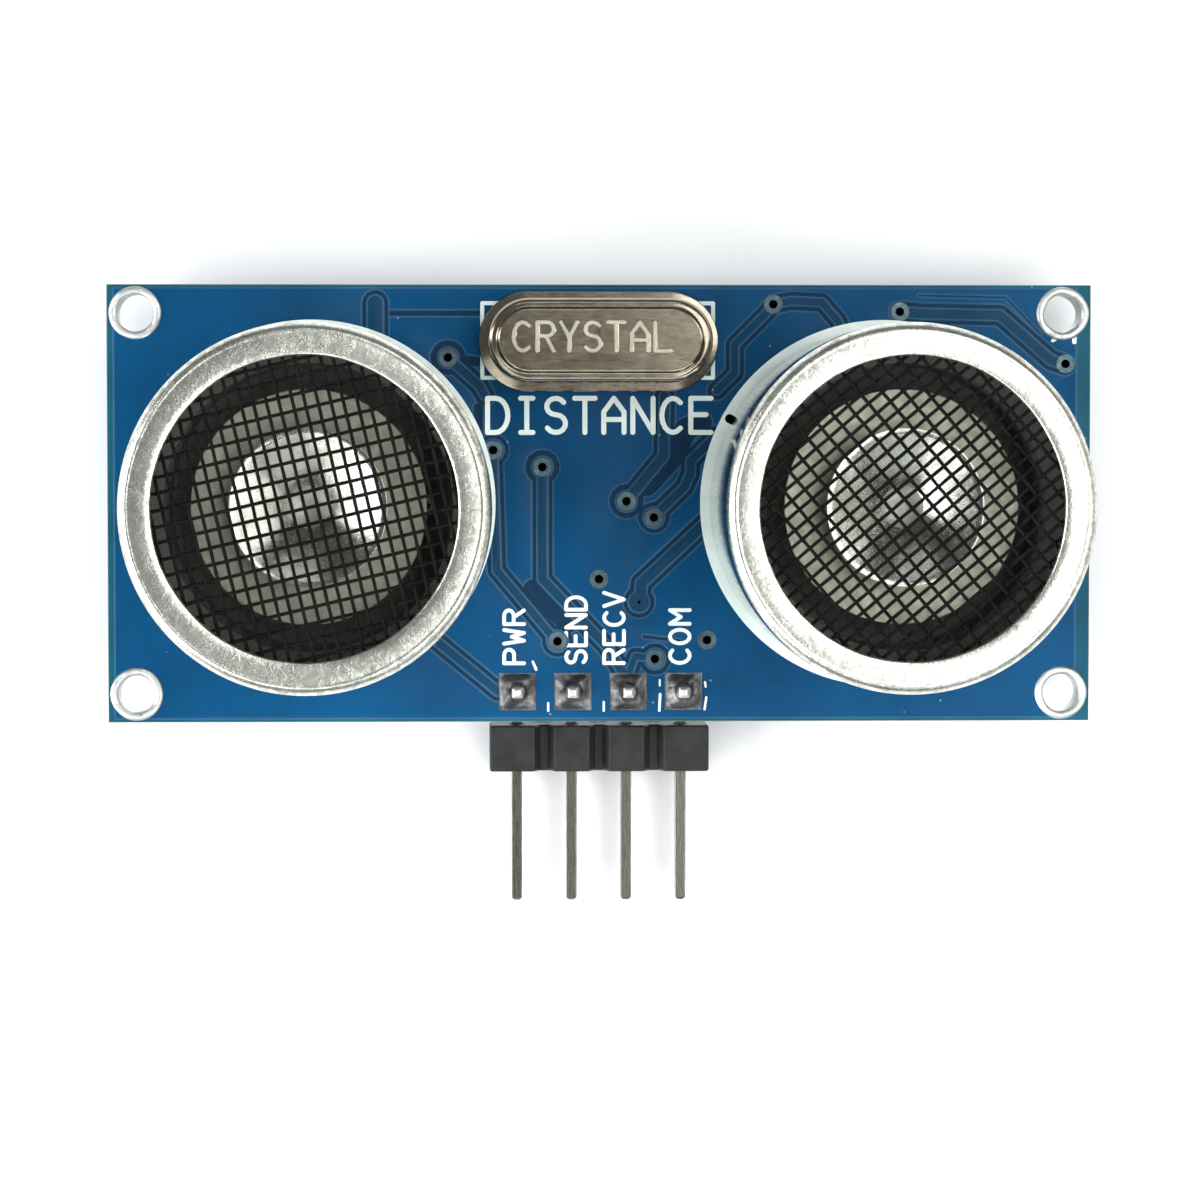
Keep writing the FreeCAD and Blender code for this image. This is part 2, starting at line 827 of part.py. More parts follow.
def header_pin(name, side):
    """A square pin: forward through the board, then bent straight down through the header."""
    place = Placement(Vector(side, 0, 0), Rotation())
    body = new_body(f"header_pin_{name}", place)
    bent = new_sketch(body, "YZ_Plane")
    half = "pin_side / 2"
    axis = "board_thickness + pin_axis_depth"
    tip = "-header_top - header_body_height - pin_length"
    add_polygon(
        bent,
        (
            ("-pin_proud", f"-header_row + {half}"),
            (f"{axis} + {half}", f"-header_row + {half}"),
            (f"{axis} + {half}", tip),
            (f"{axis} - {half}", tip),
            (f"{axis} - {half}", f"-header_row - {half}"),
            ("-pin_proud", f"-header_row - {half}"),
        ),
    )
    pad(body, bent, "pin_side", "Symmetric")
    outside = (number(f"{axis} + {half}"), number(f"-header_row + {half}"))
    ends = (number(tip), number("-pin_proud"))

    def bend_edge(edge):
        middle = edge.CenterOfMass
        return abs(middle.y - outside[0]) < 1e-4 and abs(middle.z - outside[1]) < 1e-4

    def end_edge(edge):
        low = all(abs(v.Point.z - ends[0]) < 1e-4 for v in edge.Vertexes)
        front = all(abs(v.Point.y - ends[1]) < 1e-4 for v in edge.Vertexes)
        return low or front

    round_edges(body, "pin_bend", bend_edge)
    round_edges(body, "pin_point", end_edge, "Chamfer")
    return body


# ---------------------------------------------------------------- circuit on the back

def moulding(label, length, width, height, die_side, place, marked=True):
    """A moulded package, widest at its parting line, with room inside for its silicon die."""
    body = new_body(label, place)
    sections = []
    for level, draft in (("0", " - chip_draft"), (f"{height} / 2", ""), (height, " - chip_draft")):
        section = new_sketch(body, "XY_Plane", f"chip_gap + {level}")
        add_rectangle(section, length + draft, width + draft)
        sections.append(section)
    for lower, upper in zip(sections, sections[1:]):
        loft = body.newObject("PartDesign::AdditiveLoft", f"{label}_loft")
        loft.Profile = lower
        loft.Sections = [upper]
        loft.Ruled = True
        doc.recompute()

    if marked:
        def pin_one(sketch):
            side = f"-{length} / 2 + pin_one_inset"
            add_circle(sketch, "pin_one_diameter", side, f"-{width} / 2 + pin_one_inset")

        cut_hole(body, pin_one, f"chip_gap + {height}", "pin_one_depth")

    bed = new_sketch(body, "XY_Plane", die_bottom(height))
    add_rectangle(bed, die_side, die_side)
    pocket(body, bed, "die_thickness", backwards=True)
    return body


def die_bottom(height):
    return f"chip_gap + {height} / 2 - die_thickness / 2"


def die(label, side, height, place):
    """The silicon inside a moulding."""
    return extruded(
        label,
        lambda sketch: add_rectangle(sketch, side, side),
        die_bottom(height),
        "die_thickness",
        place,
    )


def gull_wing(width, height, span, foot):
    """One flat-built lead that leaves the moulding sideways and steps down to the board."""
    body = new_body("gull_wing")
    profile = new_sketch(body, "XZ_Plane")
    root = f"{width} / 2"
    middle = f"chip_gap + {height} / 2"
    thick = "chip_lead_thickness"
    knee = f"{span} / 2 - {foot}"
    corners = (
        (root, f"{middle} - {thick} / 2"),
        (f"{knee} - {thick} / 2 - chip_lead_slope", f"{middle} - {thick} / 2"),
        (f"{knee} - {thick} / 2", "0"),
        (f"{span} / 2", "0"),
        (f"{span} / 2", thick),
        (f"{knee} + {thick} / 2", thick),
        (f"{knee} + {thick} / 2 - chip_lead_slope", f"{middle} + {thick} / 2"),
        (root, f"{middle} + {thick} / 2"),
    )
    add_polygon(profile, corners)
    pad(body, profile, "chip_lead_width", "Symmetric")
    return body.Shape


def lead_row(label, lead, spots, place):
    """Copies of a flat-built lead at (along, turn) spots of one package, in a single node."""
    places = []
    for along, turn in spots:
        across = Rotation(Vector(0, 0, 1), 90 + turn)
        places.append(place.multiply(Placement(Vector(along, 0, 0), across)))
    return copies(label, lead, places)


def small_outline_chip(name, length, count, place):
    """A flat package with count leads, half of them along each long side."""
    pitch = number("chip_pitch")
    half = count // 2
    along = [(i - (half - 1) / 2) * pitch for i in range(half)]
    spots = [(spot, turn) for turn in (0, 180) for spot in along]
    lead = gull_wing("chip_width", "chip_height", "chip_span", "chip_foot")
    return [
        moulding(f"{name}_body", length, "chip_width", "chip_height", "die_side", place),
        lead_row(f"{name}_leads", lead, spots, place),
        die(f"{name}_die", "die_side", "chip_height", place),
    ]


def transistor(place):
    width, height = "transistor_width", "transistor_height"
    pitch = number("transistor_pitch")
    lead = gull_wing(width, height, "transistor_span", "transistor_foot")
    spots = ((-pitch, 0), (pitch, 0), (0, 180))
    small_die = "transistor_die"
    return [
        moulding("transistor_body", "transistor_length", width, height, small_die, place, marked=False),
        lead_row("transistor_leads", lead, spots, place),
        die("transistor_die", small_die, height, place),
    ]


def small_parts(name, height, spots):
    """Surface-mounted resistors or capacitors: their bodies, and the metal caps on their ends."""
    core = doc.addObject("Part::Box", f"{name}_core")
    core.setExpression("Length", bound("small_length - 2 * small_end"))
    core.setExpression("Width", bound("small_width"))
    core.setExpression("Height", bound(height))
    cap = doc.addObject("Part::Box", f"{name}_cap")
    cap.setExpression("Length", bound("small_end"))
    cap.setExpression("Width", bound("small_width"))
    cap.setExpression("Height", bound(height))
    doc.recompute()
    near = number("-small_width / 2")
    half = number("small_length / 2")
    end = number("small_end")

    def shifted(stand, along):
        """The place of a block whose own corner lies along the part from its middle."""
        return stand.multiply(Placement(Vector(along, near, 0), Rotation()))

    stands = [on_back(*spot) for spot in spots]
    bodies = [shifted(stand, end - half) for stand in stands]
    caps = [shifted(stand, along) for stand in stands for along in (-half, half - end)]
    return [
        copies(f"{name}_bodies", core.Shape, bodies),
        copies(f"{name}_ends", cap.Shape, caps),
    ]


# ---------------------------------------------------------------- the whole sensor

def build():
    pieces = [circuit_board()] + plated_holes()
    for name, side in can_sides().items():
        pieces += transducer(name, side)
    pieces += crystal()
    pieces.append(header_body())
    for name, (side, _) in zip(PIN_NAMES, header_places()):
        pieces.append(header_pin(name, side))
    pieces += solder()
    sides = can_sides()
    chips = (
        ("driver", "driver_length", 16, sides["transmitter"]),
        ("controller", "controller_length", 14, 0.0),
        ("amplifier", "controller_length", 14, sides["receiver"]),
    )
    for name, length, count, side in chips:
        pieces += small_outline_chip(name, length, count, on_back(side, 0, 90))
    pieces += transistor(on_back(*TRANSISTOR_AT))
    pieces += small_parts("resistor", "resistor_height", RESISTORS)
    pieces += small_parts("capacitor", "capacitor_height", CAPACITORS)
    return pieces


def check(pieces):
    doc.recompute()
    for item in doc.Objects:
        if {"Invalid", "Error"} & set(item.State):
            raise ValueError(f"{item.Label} failed: {item.State}")
    for piece in pieces:
        if piece.Shape.isNull() or not piece.Shape.isValid() or not piece.Shape.Solids:
            raise ValueError(f"{piece.Label} has no valid solid")


def export(pieces):
    os.makedirs("parts", exist_ok=True)
    for piece in pieces:
        piece.Shape.exportStep(f"parts/{piece.Label}.step")
        box = piece.Shape.BoundBox
        size = f"{box.XLength:.2f} x {box.YLength:.2f} x {box.ZLength:.2f} mm"
        print(f"{piece.Label}: {len(piece.Shape.Solids)} solid(s), {size}")


sensor = build()
check(sensor)
export(sensor)
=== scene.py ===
"""Looks of the ultrasonic distance sensor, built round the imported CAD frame.

Shapes are worked out in millimetres as (side, up, height): side runs along the board, up runs up it,
and height is measured off the board's front face, or off its back face for a piece on the back.
"""

import json
import math
import random

import bpy
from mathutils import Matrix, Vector, noise
from mathutils.geometry import delaunay_2d_cdt, intersect_point_line


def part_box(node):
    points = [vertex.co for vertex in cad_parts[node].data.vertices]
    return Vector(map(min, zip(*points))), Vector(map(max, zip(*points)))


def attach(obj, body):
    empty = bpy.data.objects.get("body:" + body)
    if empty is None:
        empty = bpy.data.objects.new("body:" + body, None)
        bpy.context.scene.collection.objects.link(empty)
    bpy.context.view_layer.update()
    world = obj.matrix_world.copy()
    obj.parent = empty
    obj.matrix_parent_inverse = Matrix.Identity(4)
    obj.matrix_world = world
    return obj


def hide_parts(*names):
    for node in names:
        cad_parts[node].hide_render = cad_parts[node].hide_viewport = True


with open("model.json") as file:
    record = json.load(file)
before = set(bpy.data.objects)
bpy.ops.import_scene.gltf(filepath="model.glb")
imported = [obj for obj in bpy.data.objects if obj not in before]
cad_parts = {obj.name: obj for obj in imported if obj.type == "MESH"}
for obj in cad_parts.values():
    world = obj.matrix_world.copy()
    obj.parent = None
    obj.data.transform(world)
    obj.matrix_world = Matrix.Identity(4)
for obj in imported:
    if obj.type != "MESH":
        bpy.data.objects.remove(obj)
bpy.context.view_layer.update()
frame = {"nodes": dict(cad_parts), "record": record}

MM = 0.001
TURN = 2 * math.pi
dice = random.Random(7)


# ---------------------------------------------------------------- sizes read from the frame

def node_box(node):
    """A node's lowest and highest corners in millimetres."""
    low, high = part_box(node)
    return low / MM, high / MM


def middle_of(node):
    """The middle of a node's box as (side, depth, up)."""
    return [(low + high) / 2 for low, high in zip(*node_box(node))]


board_low, board_high = node_box("circuit_board")
BOARD_THICKNESS = board_high.y - board_low.y
CAN_SIDES = {can: middle_of(f"{can}_case")[0] for can in ("transmitter", "receiver")}
can_low, can_high = node_box("receiver_case")
CAN_RADIUS = (can_high.x - can_low.x) / 2
CAN_HEIGHT = board_low.y - can_low.y
PINS = ("supply", "trigger", "echo", "ground")
PIN_UP = middle_of("header_solder")[2]
PIN_PLACES = [(middle_of(f"header_pin_{pin}")[0], PIN_UP) for pin in PINS]
CRYSTAL_SIDE, _, CRYSTAL_UP = middle_of("crystal_can")
# The three long chips on the back: the side each is on, and half the length of its outline.
BACK_CHIPS = {
    "driver": (CAN_SIDES["transmitter"], 5.15),
    "controller": (0.0, 4.5),
    "amplifier": (CAN_SIDES["receiver"], 4.5),
}


# ---------------------------------------------------------------- placing and making meshes

def front(side, up, height=0.0):
    return Vector((side, -height, up))


def back(side, up, height=0.0):
    return Vector((side, BOARD_THICKNESS + height, up))


def make_piece(name, points, faces, materials, marks=None, crease=35.0, replaced=(), finish=None):
    """A mesh object in the frame, riding on the only body; marks are its faces' material numbers."""
    mesh = bpy.data.meshes.new(name)
    mesh.from_pydata([Vector(point) * MM for point in points], [], faces)
    for material in materials:
        mesh.materials.append(material)
    if marks is not None:
        mesh.polygons.foreach_set("material_index", marks)
    mesh.validate()
    mesh.update()
    mesh.shade_smooth()
    mesh.set_sharp_from_angle(angle=math.radians(crease))
    piece = bpy.data.objects.new(name, mesh)
    bpy.context.scene.collection.objects.link(piece)
    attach(piece, "root")
    if replaced:
        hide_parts(*replaced)


class Mould:
    """Gathers points and faces of one piece from several simple shapes."""

    def __init__(self):
        self.points = []
        self.faces = []
        self.marks = []

    def add(self, points, faces, mark=0):
        start = len(self.points)
        self.points += [Vector(point) for point in points]
        self.faces += [tuple(start + corner for corner in face) for face in faces]
        self.marks += [mark] * len(faces)

    def make(self, name, materials, **options):
        make_piece(name, self.points, self.faces, materials, self.marks, **options)


def arc(across, along, wide, high, first, last, steps=8):
    """Part of an ellipse about (across, along), between two angles in degrees."""
    angles = (math.radians(first + (last - first) * i / steps) for i in range(steps + 1))
    return [(across + wide * math.cos(a), along + high * math.sin(a)) for a in angles]


def circle(radius, count, side=0.0, up=0.0):
    angles = (TURN * i / count for i in range(count))
    return [(side + radius * math.cos(a), up + radius * math.sin(a)) for a in angles]


def stadium(length, width, count):
    """Two half circles joined by straight sides, about the middle."""
    radius, reach = width / 2, (length - width) / 2
    right_end = arc(reach, 0.0, radius, radius, -90, 90, count // 2)
    return right_end + arc(-reach, 0.0, radius, radius, 90, 270, count // 2)


def lump(angle, reach, seed):
    """Smooth noise round a circle; a longer reach gives more bumps."""
    return noise.noise(Vector((reach * math.cos(angle), reach * math.sin(angle), seed)))


def loft(rings, close_first=False, close_last=False):
    """Joins rings of equally many points with quads; each ring is a list of 3-D points."""
    count = len(rings[0])
    points = [point for ring in rings for point in ring]
    faces = []
    for level in range(len(rings) - 1):
        for i in range(count):
            j = (i + 1) % count
            low, high = level * count, (level + 1) * count
            faces.append((low + i, low + j, high + j, high + i))
    if close_first:
        faces.append(tuple(reversed(range(count))))
    if close_last:
        faces.append(tuple(range(len(points) - count, len(points))))
    return points, faces


def turned(profile, count, place, side=0.0, up=0.0, wobble=None):
    """A closed profile of (radius, height) turned about an axis off the board."""
    rings = []
    for radius, height in profile:
        ring = []
        for i in range(count):
            angle = TURN * i / count
            r, h = (radius, height) if wobble is None else wobble(radius, height, angle)
            ring.append(place(side + r * math.cos(angle), up + r * math.sin(angle), h))
        rings.append(ring)
    points, faces = loft(rings + [rings[0]])
    last = len(profile) * count
    faces = [tuple(c - last if c >= last else c for c in face) for face in faces]
    return points[:last], faces


# ---------------------------------------------------------------- flat shapes and their union

def capsule(a, b, reach):
    """The outline of a straight stroke with round ends."""
    along = Vector(b) - Vector(a)
    heading = math.degrees(math.atan2(along.y, along.x)) if along.length > 1e-9 else 0.0
    far_end = arc(*b, reach, reach, heading - 90, heading + 90, 7)
    return far_end + arc(*a, reach, reach, heading + 90, heading + 270, 7)


def strokes(line, reach):
    return [capsule(a, b, reach) for a, b in zip(line, line[1:])]


def flat_mesh(shapes, holes=(), lines=()):
    """Triangulates the union of outlines less the holes: (points, triangles)."""
    points, outlines = [], []
    for outline in list(shapes) + list(holes) + list(lines):
        outlines.append(list(range(len(points), len(points) + len(outline))))
        points += [Vector(point) for point in outline]
    made = delaunay_2d_cdt(points, [], outlines, 1, 1e-6)
    kept_from = len(shapes)
    cut_from = kept_from + len(holes)
    triangles = []
    for face, sources in zip(made[2], made[5]):
        inside = any(source < kept_from for source in sources)
        cut = any(kept_from <= source < cut_from for source in sources)
        if inside and not cut:
            triangles.append(tuple(face))
    used = sorted({corner for face in triangles for corner in face})
    renumber = {corner: i for i, corner in enumerate(used)}
    triangles = [tuple(renumber[corner] for corner in face) for face in triangles]
    return [tuple(made[0][corner]) for corner in used], triangles


def upward(points, triangles):
    """Orders every triangle anticlockwise."""
    ordered = []
    for a, b, c in triangles:
        (ax, ay), (bx, by), (cx, cy) = points[a], points[b], points[c]
        area = (bx - ax) * (cy - ay) - (cx - ax) * (by - ay)
        ordered.append((a, b, c) if area > 0 else (a, c, b))
    return ordered


def thickened(upper, lower, faces):
    """Joins a sheet of faces to its copy underneath along every open edge."""
    count = len(upper)
    under = [tuple(count + corner for corner in reversed(face)) for face in faces]
    edges = {(a, b): True for face in faces for a, b in zip(face, face[1:] + face[:1])}
    sides = [(b, a, count + a, count + b) for a, b in edges if (b, a) not in edges]
    return upper + lower, faces + under + sides


def slab(points, triangles, top, bottom, place):
    """Gives a flat mesh a thickness; top is a function of (side, up)."""
    triangles = upward(points, triangles)
    if place is back:
        triangles = [(a, c, b) for a, b, c in triangles]
    upper = [place(side, up, top(side, up)) for side, up in points]
    lower = [place(side, up, bottom) for side, up in points]
    return thickened(upper, lower, triangles)


def printed(name, shapes, holes, bottom, thickness, place, material, finish):
    """A thin flat piece, such as printed ink or a copper pad."""
    points, triangles = flat_mesh(shapes, holes)
    mould = Mould()
    mould.add(*slab(points, triangles, lambda side, up: bottom + thickness, bottom, place))
    mould.make(name, [material], finish=finish)


# ---------------------------------------------------------------- materials

class Nodes:
    """Builds one material's node tree from short calls; lengths are in millimetres."""

    def __init__(self, name):
        self.material = bpy.data.materials.new(name)
        self.material.use_nodes = True
        self.tree = self.material.node_tree
        self.tree.nodes.clear()
        self.shader = self.node("ShaderNodeBsdfPrincipled")
        output = self.node("ShaderNodeOutputMaterial")
        self.link(self.shader.outputs["BSDF"], output.inputs["Surface"])
        where = self.node("ShaderNodeTexCoord")
        self.place = self.stretch(where.outputs["Object"], (1 / MM, 1 / MM, 1 / MM))

    def node(self, kind, **settings):
        made = self.tree.nodes.new(kind)
        for key, value in settings.items():
            setattr(made, key, value)
        return made

    def link(self, source, target):
        self.tree.links.new(source, target)

    def put(self, target, value):
        """Links a socket, or sets a plain value."""
        if isinstance(value, bpy.types.NodeSocket):
            self.link(value, target)
        else:
            target.default_value = (*value, 1.0) if target.type == "RGBA" else value

    def stretch(self, vector, scale):
        mapping = self.node("ShaderNodeMapping")
        self.link(vector, mapping.inputs["Vector"])
        mapping.inputs["Scale"].default_value = scale
        return mapping.outputs["Vector"]

    def texture(self, kind, per_mm, vector=None, **settings):
        made = self.node(kind, **settings)
        self.link(vector or self.place, made.inputs["Vector"])
        made.inputs["Scale"].default_value = per_mm
        return made

    def noise(self, per_mm, detail=3.0, stretch=None, roughness=0.55, distortion=0.0):
        vector = self.stretch(self.place, stretch) if stretch else None
        made = self.texture("ShaderNodeTexNoise", per_mm, vector)
        made.inputs["Detail"].default_value = detail
        made.inputs["Roughness"].default_value = roughness
        made.inputs["Distortion"].default_value = distortion
        return made.outputs["Fac"]

    def spots(self, per_mm):
        return self.texture("ShaderNodeTexVoronoi", per_mm).outputs["Distance"]

    def layers(self, per_mm, distortion):
        """Waves through the board's thickness."""
        made = self.texture("ShaderNodeTexWave", per_mm, bands_direction="Y")
        made.inputs["Distortion"].default_value = distortion
        return made.outputs["Fac"]

    def depth(self):
        """How far behind the board's front face a point lies."""
        split = self.node("ShaderNodeSeparateXYZ")
        self.link(self.place, split.inputs["Vector"])
        return split.outputs["Y"]

    def ramp(self, value, *stops):
        """Stops are (position, colour)."""
        made = self.node("ShaderNodeValToRGB")
        self.link(value, made.inputs["Fac"])
        ramp = made.color_ramp
        while len(ramp.elements) < len(stops):
            ramp.elements.new(0.5)
        for element, (position, colour) in zip(ramp.elements, stops):
            element.position = position
            element.color = (*colour, 1)
        return made.outputs["Color"]

    def span(self, value, low, high, new_low, new_high):
        made = self.node("ShaderNodeMapRange")
        self.link(value, made.inputs["Value"])
        for key, number in (("From Min", low), ("From Max", high), ("To Min", new_low), ("To Max", new_high)):
            made.inputs[key].default_value = number
        return made.outputs["Result"]

    def drift(self, per_mm, low, high, detail=3.0):
        """Noise spread from one value to another."""
        return self.span(self.noise(per_mm, detail), 0.3, 0.7, low, high)

    def mix(self, share, first, second):
        made = self.node("ShaderNodeMix", data_type="RGBA")
        self.put(made.inputs["Factor"], share)
        self.put(made.inputs[6], first)
        self.put(made.inputs[7], second)
        return made.outputs[2]

    def bump(self, height, depth_mm, strength, below=None):
        made = self.node("ShaderNodeBump")
        self.link(height, made.inputs["Height"])
        made.inputs["Distance"].default_value = depth_mm * MM
        made.inputs["Strength"].default_value = strength
        if below is not None:
            self.link(below, made.inputs["Normal"])
        return made.outputs["Normal"]

    def finish(self, colour, roughness, metallic=0.0, normal=None, **fixed):
        self.put(self.shader.inputs["Base Color"], colour)
        self.put(self.shader.inputs["Roughness"], roughness)
        self.shader.inputs["Metallic"].default_value = metallic
        if normal is not None:
            self.link(normal, self.shader.inputs["Normal"])
        for key, value in fixed.items():
            self.shader.inputs[key.replace("_", " ")].default_value = value
        return self.material


def linear(red, green, blue):
    """The scene colour of a screen colour given in 0 to 255."""
    def channel(value):
        share = value / 255
        return share / 12.92 if share <= 0.04045 else ((share + 0.055) / 1.055) ** 2.4

    return (channel(red), channel(green), channel(blue))


def mask_material(name, light, dark, roughness):
    """Blue solder resist: cloudy colour, a faint orange peel and specks of dust."""
    n = Nodes(name)
    light, dark = linear(*light), linear(*dark)
    colour = n.ramp(n.noise(0.16, 4.0), (0.32, dark), (0.68, light))
    colour = n.mix(n.drift(9.0, 0.0, 0.22), colour, tuple(c * 0.62 for c in dark))
    dust = n.span(n.spots(0.9), 0.03, 0.05, 0.55, 0.0)
    colour = n.mix(dust, colour, linear(150, 186, 204))
    rough = n.drift(3.5, roughness - 0.06, roughness + 0.08)
    return n.finish(colour, rough, normal=n.bump(n.noise(5.5, 2.0), 0.012, 0.5), IOR=1.2)


def metal_material(name, light, dark, rough_low, rough_high, grain=6.0, depth=0.004, stretch=None, tone=0.5):
    """Bare or plated metal with uneven tone, fine marks and uneven gloss."""
    n = Nodes(name)
    light, dark = linear(*light), linear(*dark)
    marks = n.noise(grain, 4.0, stretch)
    colour = n.mix(n.drift(0.9, 0.0, 1.0), dark, light)
    colour = n.mix(n.span(marks, 0.35, 0.7, 0.0, tone), colour, dark)
    rough = n.span(marks, 0.3, 0.7, rough_low, rough_high)
    return n.finish(colour, rough, metallic=1.0, normal=n.bump(marks, depth, 0.6))


def plastic_material(name, light, dark, roughness, grain=14.0, depth=0.01, ior=1.45):
    """Moulded plastic or resin with a spark-eroded grain and slight colour drift."""
    n = Nodes(name)
    light, dark = linear(*light), linear(*dark)
    cells = n.noise(grain, roughness=0.65)
    colour = n.mix(n.drift(0.7, 0.0, 1.0), dark, light)
    colour = n.mix(n.span(cells, 0.45, 0.75, 0.0, 0.35), colour, light)
    rough = n.drift(2.2, roughness - 0.08, roughness + 0.08)
    return n.finish(colour, rough, normal=n.bump(cells, depth, 0.7), IOR=ior)


def laminate_material():
    """Glass-epoxy as its sawn edge shows it, in thin woven layers."""
    n = Nodes("laminate_glass_epoxy")
    fibres = n.noise(5.0, 4.0)
    colour = n.ramp(n.layers(3.2, 1.5), (0.2, linear(104, 116, 92)), (0.8, linear(158, 158, 118)))
    colour = n.mix(n.span(fibres, 0.35, 0.7, 0.0, 0.6), colour, linear(74, 92, 86))
    return n.finish(colour, n.span(fibres, 0.3, 0.7, 0.55, 0.8), normal=n.bump(fibres, 0.02, 0.8))


def lip_material():
    """The can's turned-in lip: satin aluminium, scuffed and freckled all over."""
    n = Nodes("can_lip_scuffed")
    scuffs = n.noise(1.5, 6.0, roughness=0.72, distortion=1.4)
    freckles = n.noise(7.0, 4.0, roughness=0.7)
    dark, middle, light = linear(140, 142, 133), linear(200, 201, 191), linear(242, 242, 232)
    colour = n.ramp(scuffs, (0.34, dark), (0.5, middle), (0.62, light))
    colour = n.mix(n.span(n.noise(0.3, 2.0), 0.4, 0.65, 0.0, 0.45), colour, linear(228, 228, 218))
    colour = n.mix(n.span(freckles, 0.5, 0.72, 0.0, 0.6), colour, linear(132, 130, 118))
    rough = n.span(scuffs, 0.3, 0.7, 0.34, 0.2)
    relief = n.bump(freckles, 0.02, 0.5, below=n.bump(scuffs, 0.03, 0.5))
    return n.finish(colour, rough, metallic=1.0, normal=relief)


def wall_material():
    """The can's drawn side wall: smoother than the lip, with fine lines along the draw."""
    n = Nodes("can_wall_drawn")
    lines = n.noise(7.0, stretch=(1.0, 0.05, 1.0))
    colour = n.mix(n.drift(0.5, 0.0, 1.0), linear(170, 178, 176), linear(192, 199, 196))
    rough = n.span(lines, 0.3, 0.7, 0.06, 0.12)
    return n.finish(colour, rough, metallic=1.0, normal=n.bump(lines, 0.003, 0.3))


def cone_material():
    """Bright spun metal, with finger haze and fine specks."""
    n = Nodes("cone_spun_metal")
    speck = n.noise(7.0)
    colour = n.mix(n.drift(0.9, 0.0, 1.0), linear(192, 192, 180), linear(226, 226, 214))
    rough = n.span(speck, 0.3, 0.7, 0.16, 0.28)
    return n.finish(colour, rough, metallic=1.0, normal=n.bump(speck, 0.003, 0.4))


def pin_material():
    """Tinned wire, dull along its length, with a painted highlight: a brighter colour on the front end of
    each pin.
    """
    n = Nodes("pin_tin")
    marks = n.noise(5.0, 4.0, (2, 2, 0.3))
    # painted highlight: a mask for the pin's front end, where the colour is brightened to stand in for the
    # light it reflects
    painted_tip_highlight = n.span(n.depth(), -0.75, -0.45, 1.0, 0.0)
    dull = n.mix(n.span(marks, 0.35, 0.7, 0.0, 0.6), linear(124, 125, 115), linear(76, 75, 66))
    colour = n.mix(painted_tip_highlight, dull, linear(206, 206, 198))
    rough = n.mix(painted_tip_highlight, n.span(marks, 0.3, 0.7, 0.18, 0.32), (0.5, 0.5, 0.5))
    return n.finish(colour, rough, metallic=1.0, normal=n.bump(marks, 0.006, 0.6))


def base_material():
    """Black moulding, painted lighter towards the bottom of its well: a painted brightening that offsets the
    shade there.
    """
    n = Nodes("base_black_moulding")
    grain = n.noise(14.0, roughness=0.65)
    # painted light: the colour grows lighter deeper in the well, making up for the shade that falls there
    painted_well_light = n.span(n.depth(), -8.3, -4.0, 0.0, 1.0)
    colour = n.mix(painted_well_light, linear(92, 92, 87), linear(156, 156, 150))
    colour = n.mix(n.span(grain, 0.4, 0.75, 0.0, 0.3), colour, linear(44, 44, 43))
    return n.finish(colour, n.drift(2.2, 0.55, 0.7), normal=n.bump(grain, 0.01, 0.7))


def glass_material(name, colour, roughness):
    n = Nodes(name)
    colour = linear(*colour)
    streaks = n.noise(1.5, 2.0)
    tint = n.mix(n.span(streaks, 0.3, 0.7, 0.0, 1.0), colour, tuple(c * 0.8 for c in colour))
    rough = n.span(streaks, 0.3, 0.7, roughness, roughness + 0.1)
    return n.finish(tint, rough, IOR=1.5, Transmission_Weight=0.6)


# Colours are screen colours, light then dark.
WHITE_INK = plastic_material("legend_white_ink", (240, 250, 246), (214, 226, 220), 0.55, 9.0, 0.006)
MARKING = metal_material("crystal_marking", (206, 201, 184), (176, 170, 152), 0.5, 0.65, 6.0, 0.01)
MASK_COPPER = mask_material("mask_over_copper", (2, 75, 119), (1, 62, 100), 0.42)
MASK_TRACK = mask_material("mask_over_tracks", (18, 64, 94), (12, 52, 80), 0.42)
MASK_BARE = mask_material("mask_over_laminate", (13, 50, 78), (7, 40, 66), 0.45)
# painted highlight: the resist on the slopes along copper edges gets a lighter colour, standing in for the
# light these edges catch
MASK_EDGE_HIGHLIGHT = mask_material("mask_edge_painted_highlight", (52, 96, 126), (34, 76, 106), 0.38)
MASK_BORDER = mask_material("mask_over_border", (26, 92, 112), (14, 66, 88), 0.45)
LAMINATE = laminate_material()
TIN = metal_material("tinned_copper_bright", (232, 234, 232), (188, 192, 190), 0.2, 0.4, 4.0, 0.01)
SOLDER = metal_material("solder_dull", (136, 136, 136), (70, 68, 70), 0.3, 0.52, 3.4, 0.06, tone=0.8)
BRIGHT_SOLDER = metal_material("solder_bright", (214, 216, 216), (160, 162, 164), 0.14, 0.32, 3.0, 0.02)
BEAD_TIN = metal_material("corner_bead_tin", (232, 234, 230), (186, 189, 187), 0.4, 0.6, 4.0, 0.02)
PIN_TIN = pin_material()
TERMINAL = metal_material("terminal_tin", (200, 200, 196), (160, 160, 154), 0.25, 0.4)
COPPER_WIRE = metal_material("copper_wire", (214, 142, 96), (170, 100, 60), 0.25, 0.4)
CLIP_METAL = metal_material("clip_spring_metal", (196, 188, 160), (150, 140, 112), 0.25, 0.4)
CAN_LIP = lip_material()
CAN_WALL = wall_material()
VIA_RING = metal_material("via_ring_dull", (104, 122, 125), (60, 80, 86), 0.4, 0.6, 5.0, 0.01)
CONE = cone_material()
HUB = metal_material("cone_hub_dull", (196, 197, 188), (158, 160, 152), 0.4, 0.6, 3.0, 0.01)
PLATE = metal_material("plate_grey", (204, 204, 186), (162, 162, 146), 0.42, 0.6, 3.0, 0.01, tone=0.3)
NICKEL = metal_material("crystal_nickel", (172, 161, 144), (136, 127, 111), 0.14, 0.24, stretch=(0.25, 1, 2))
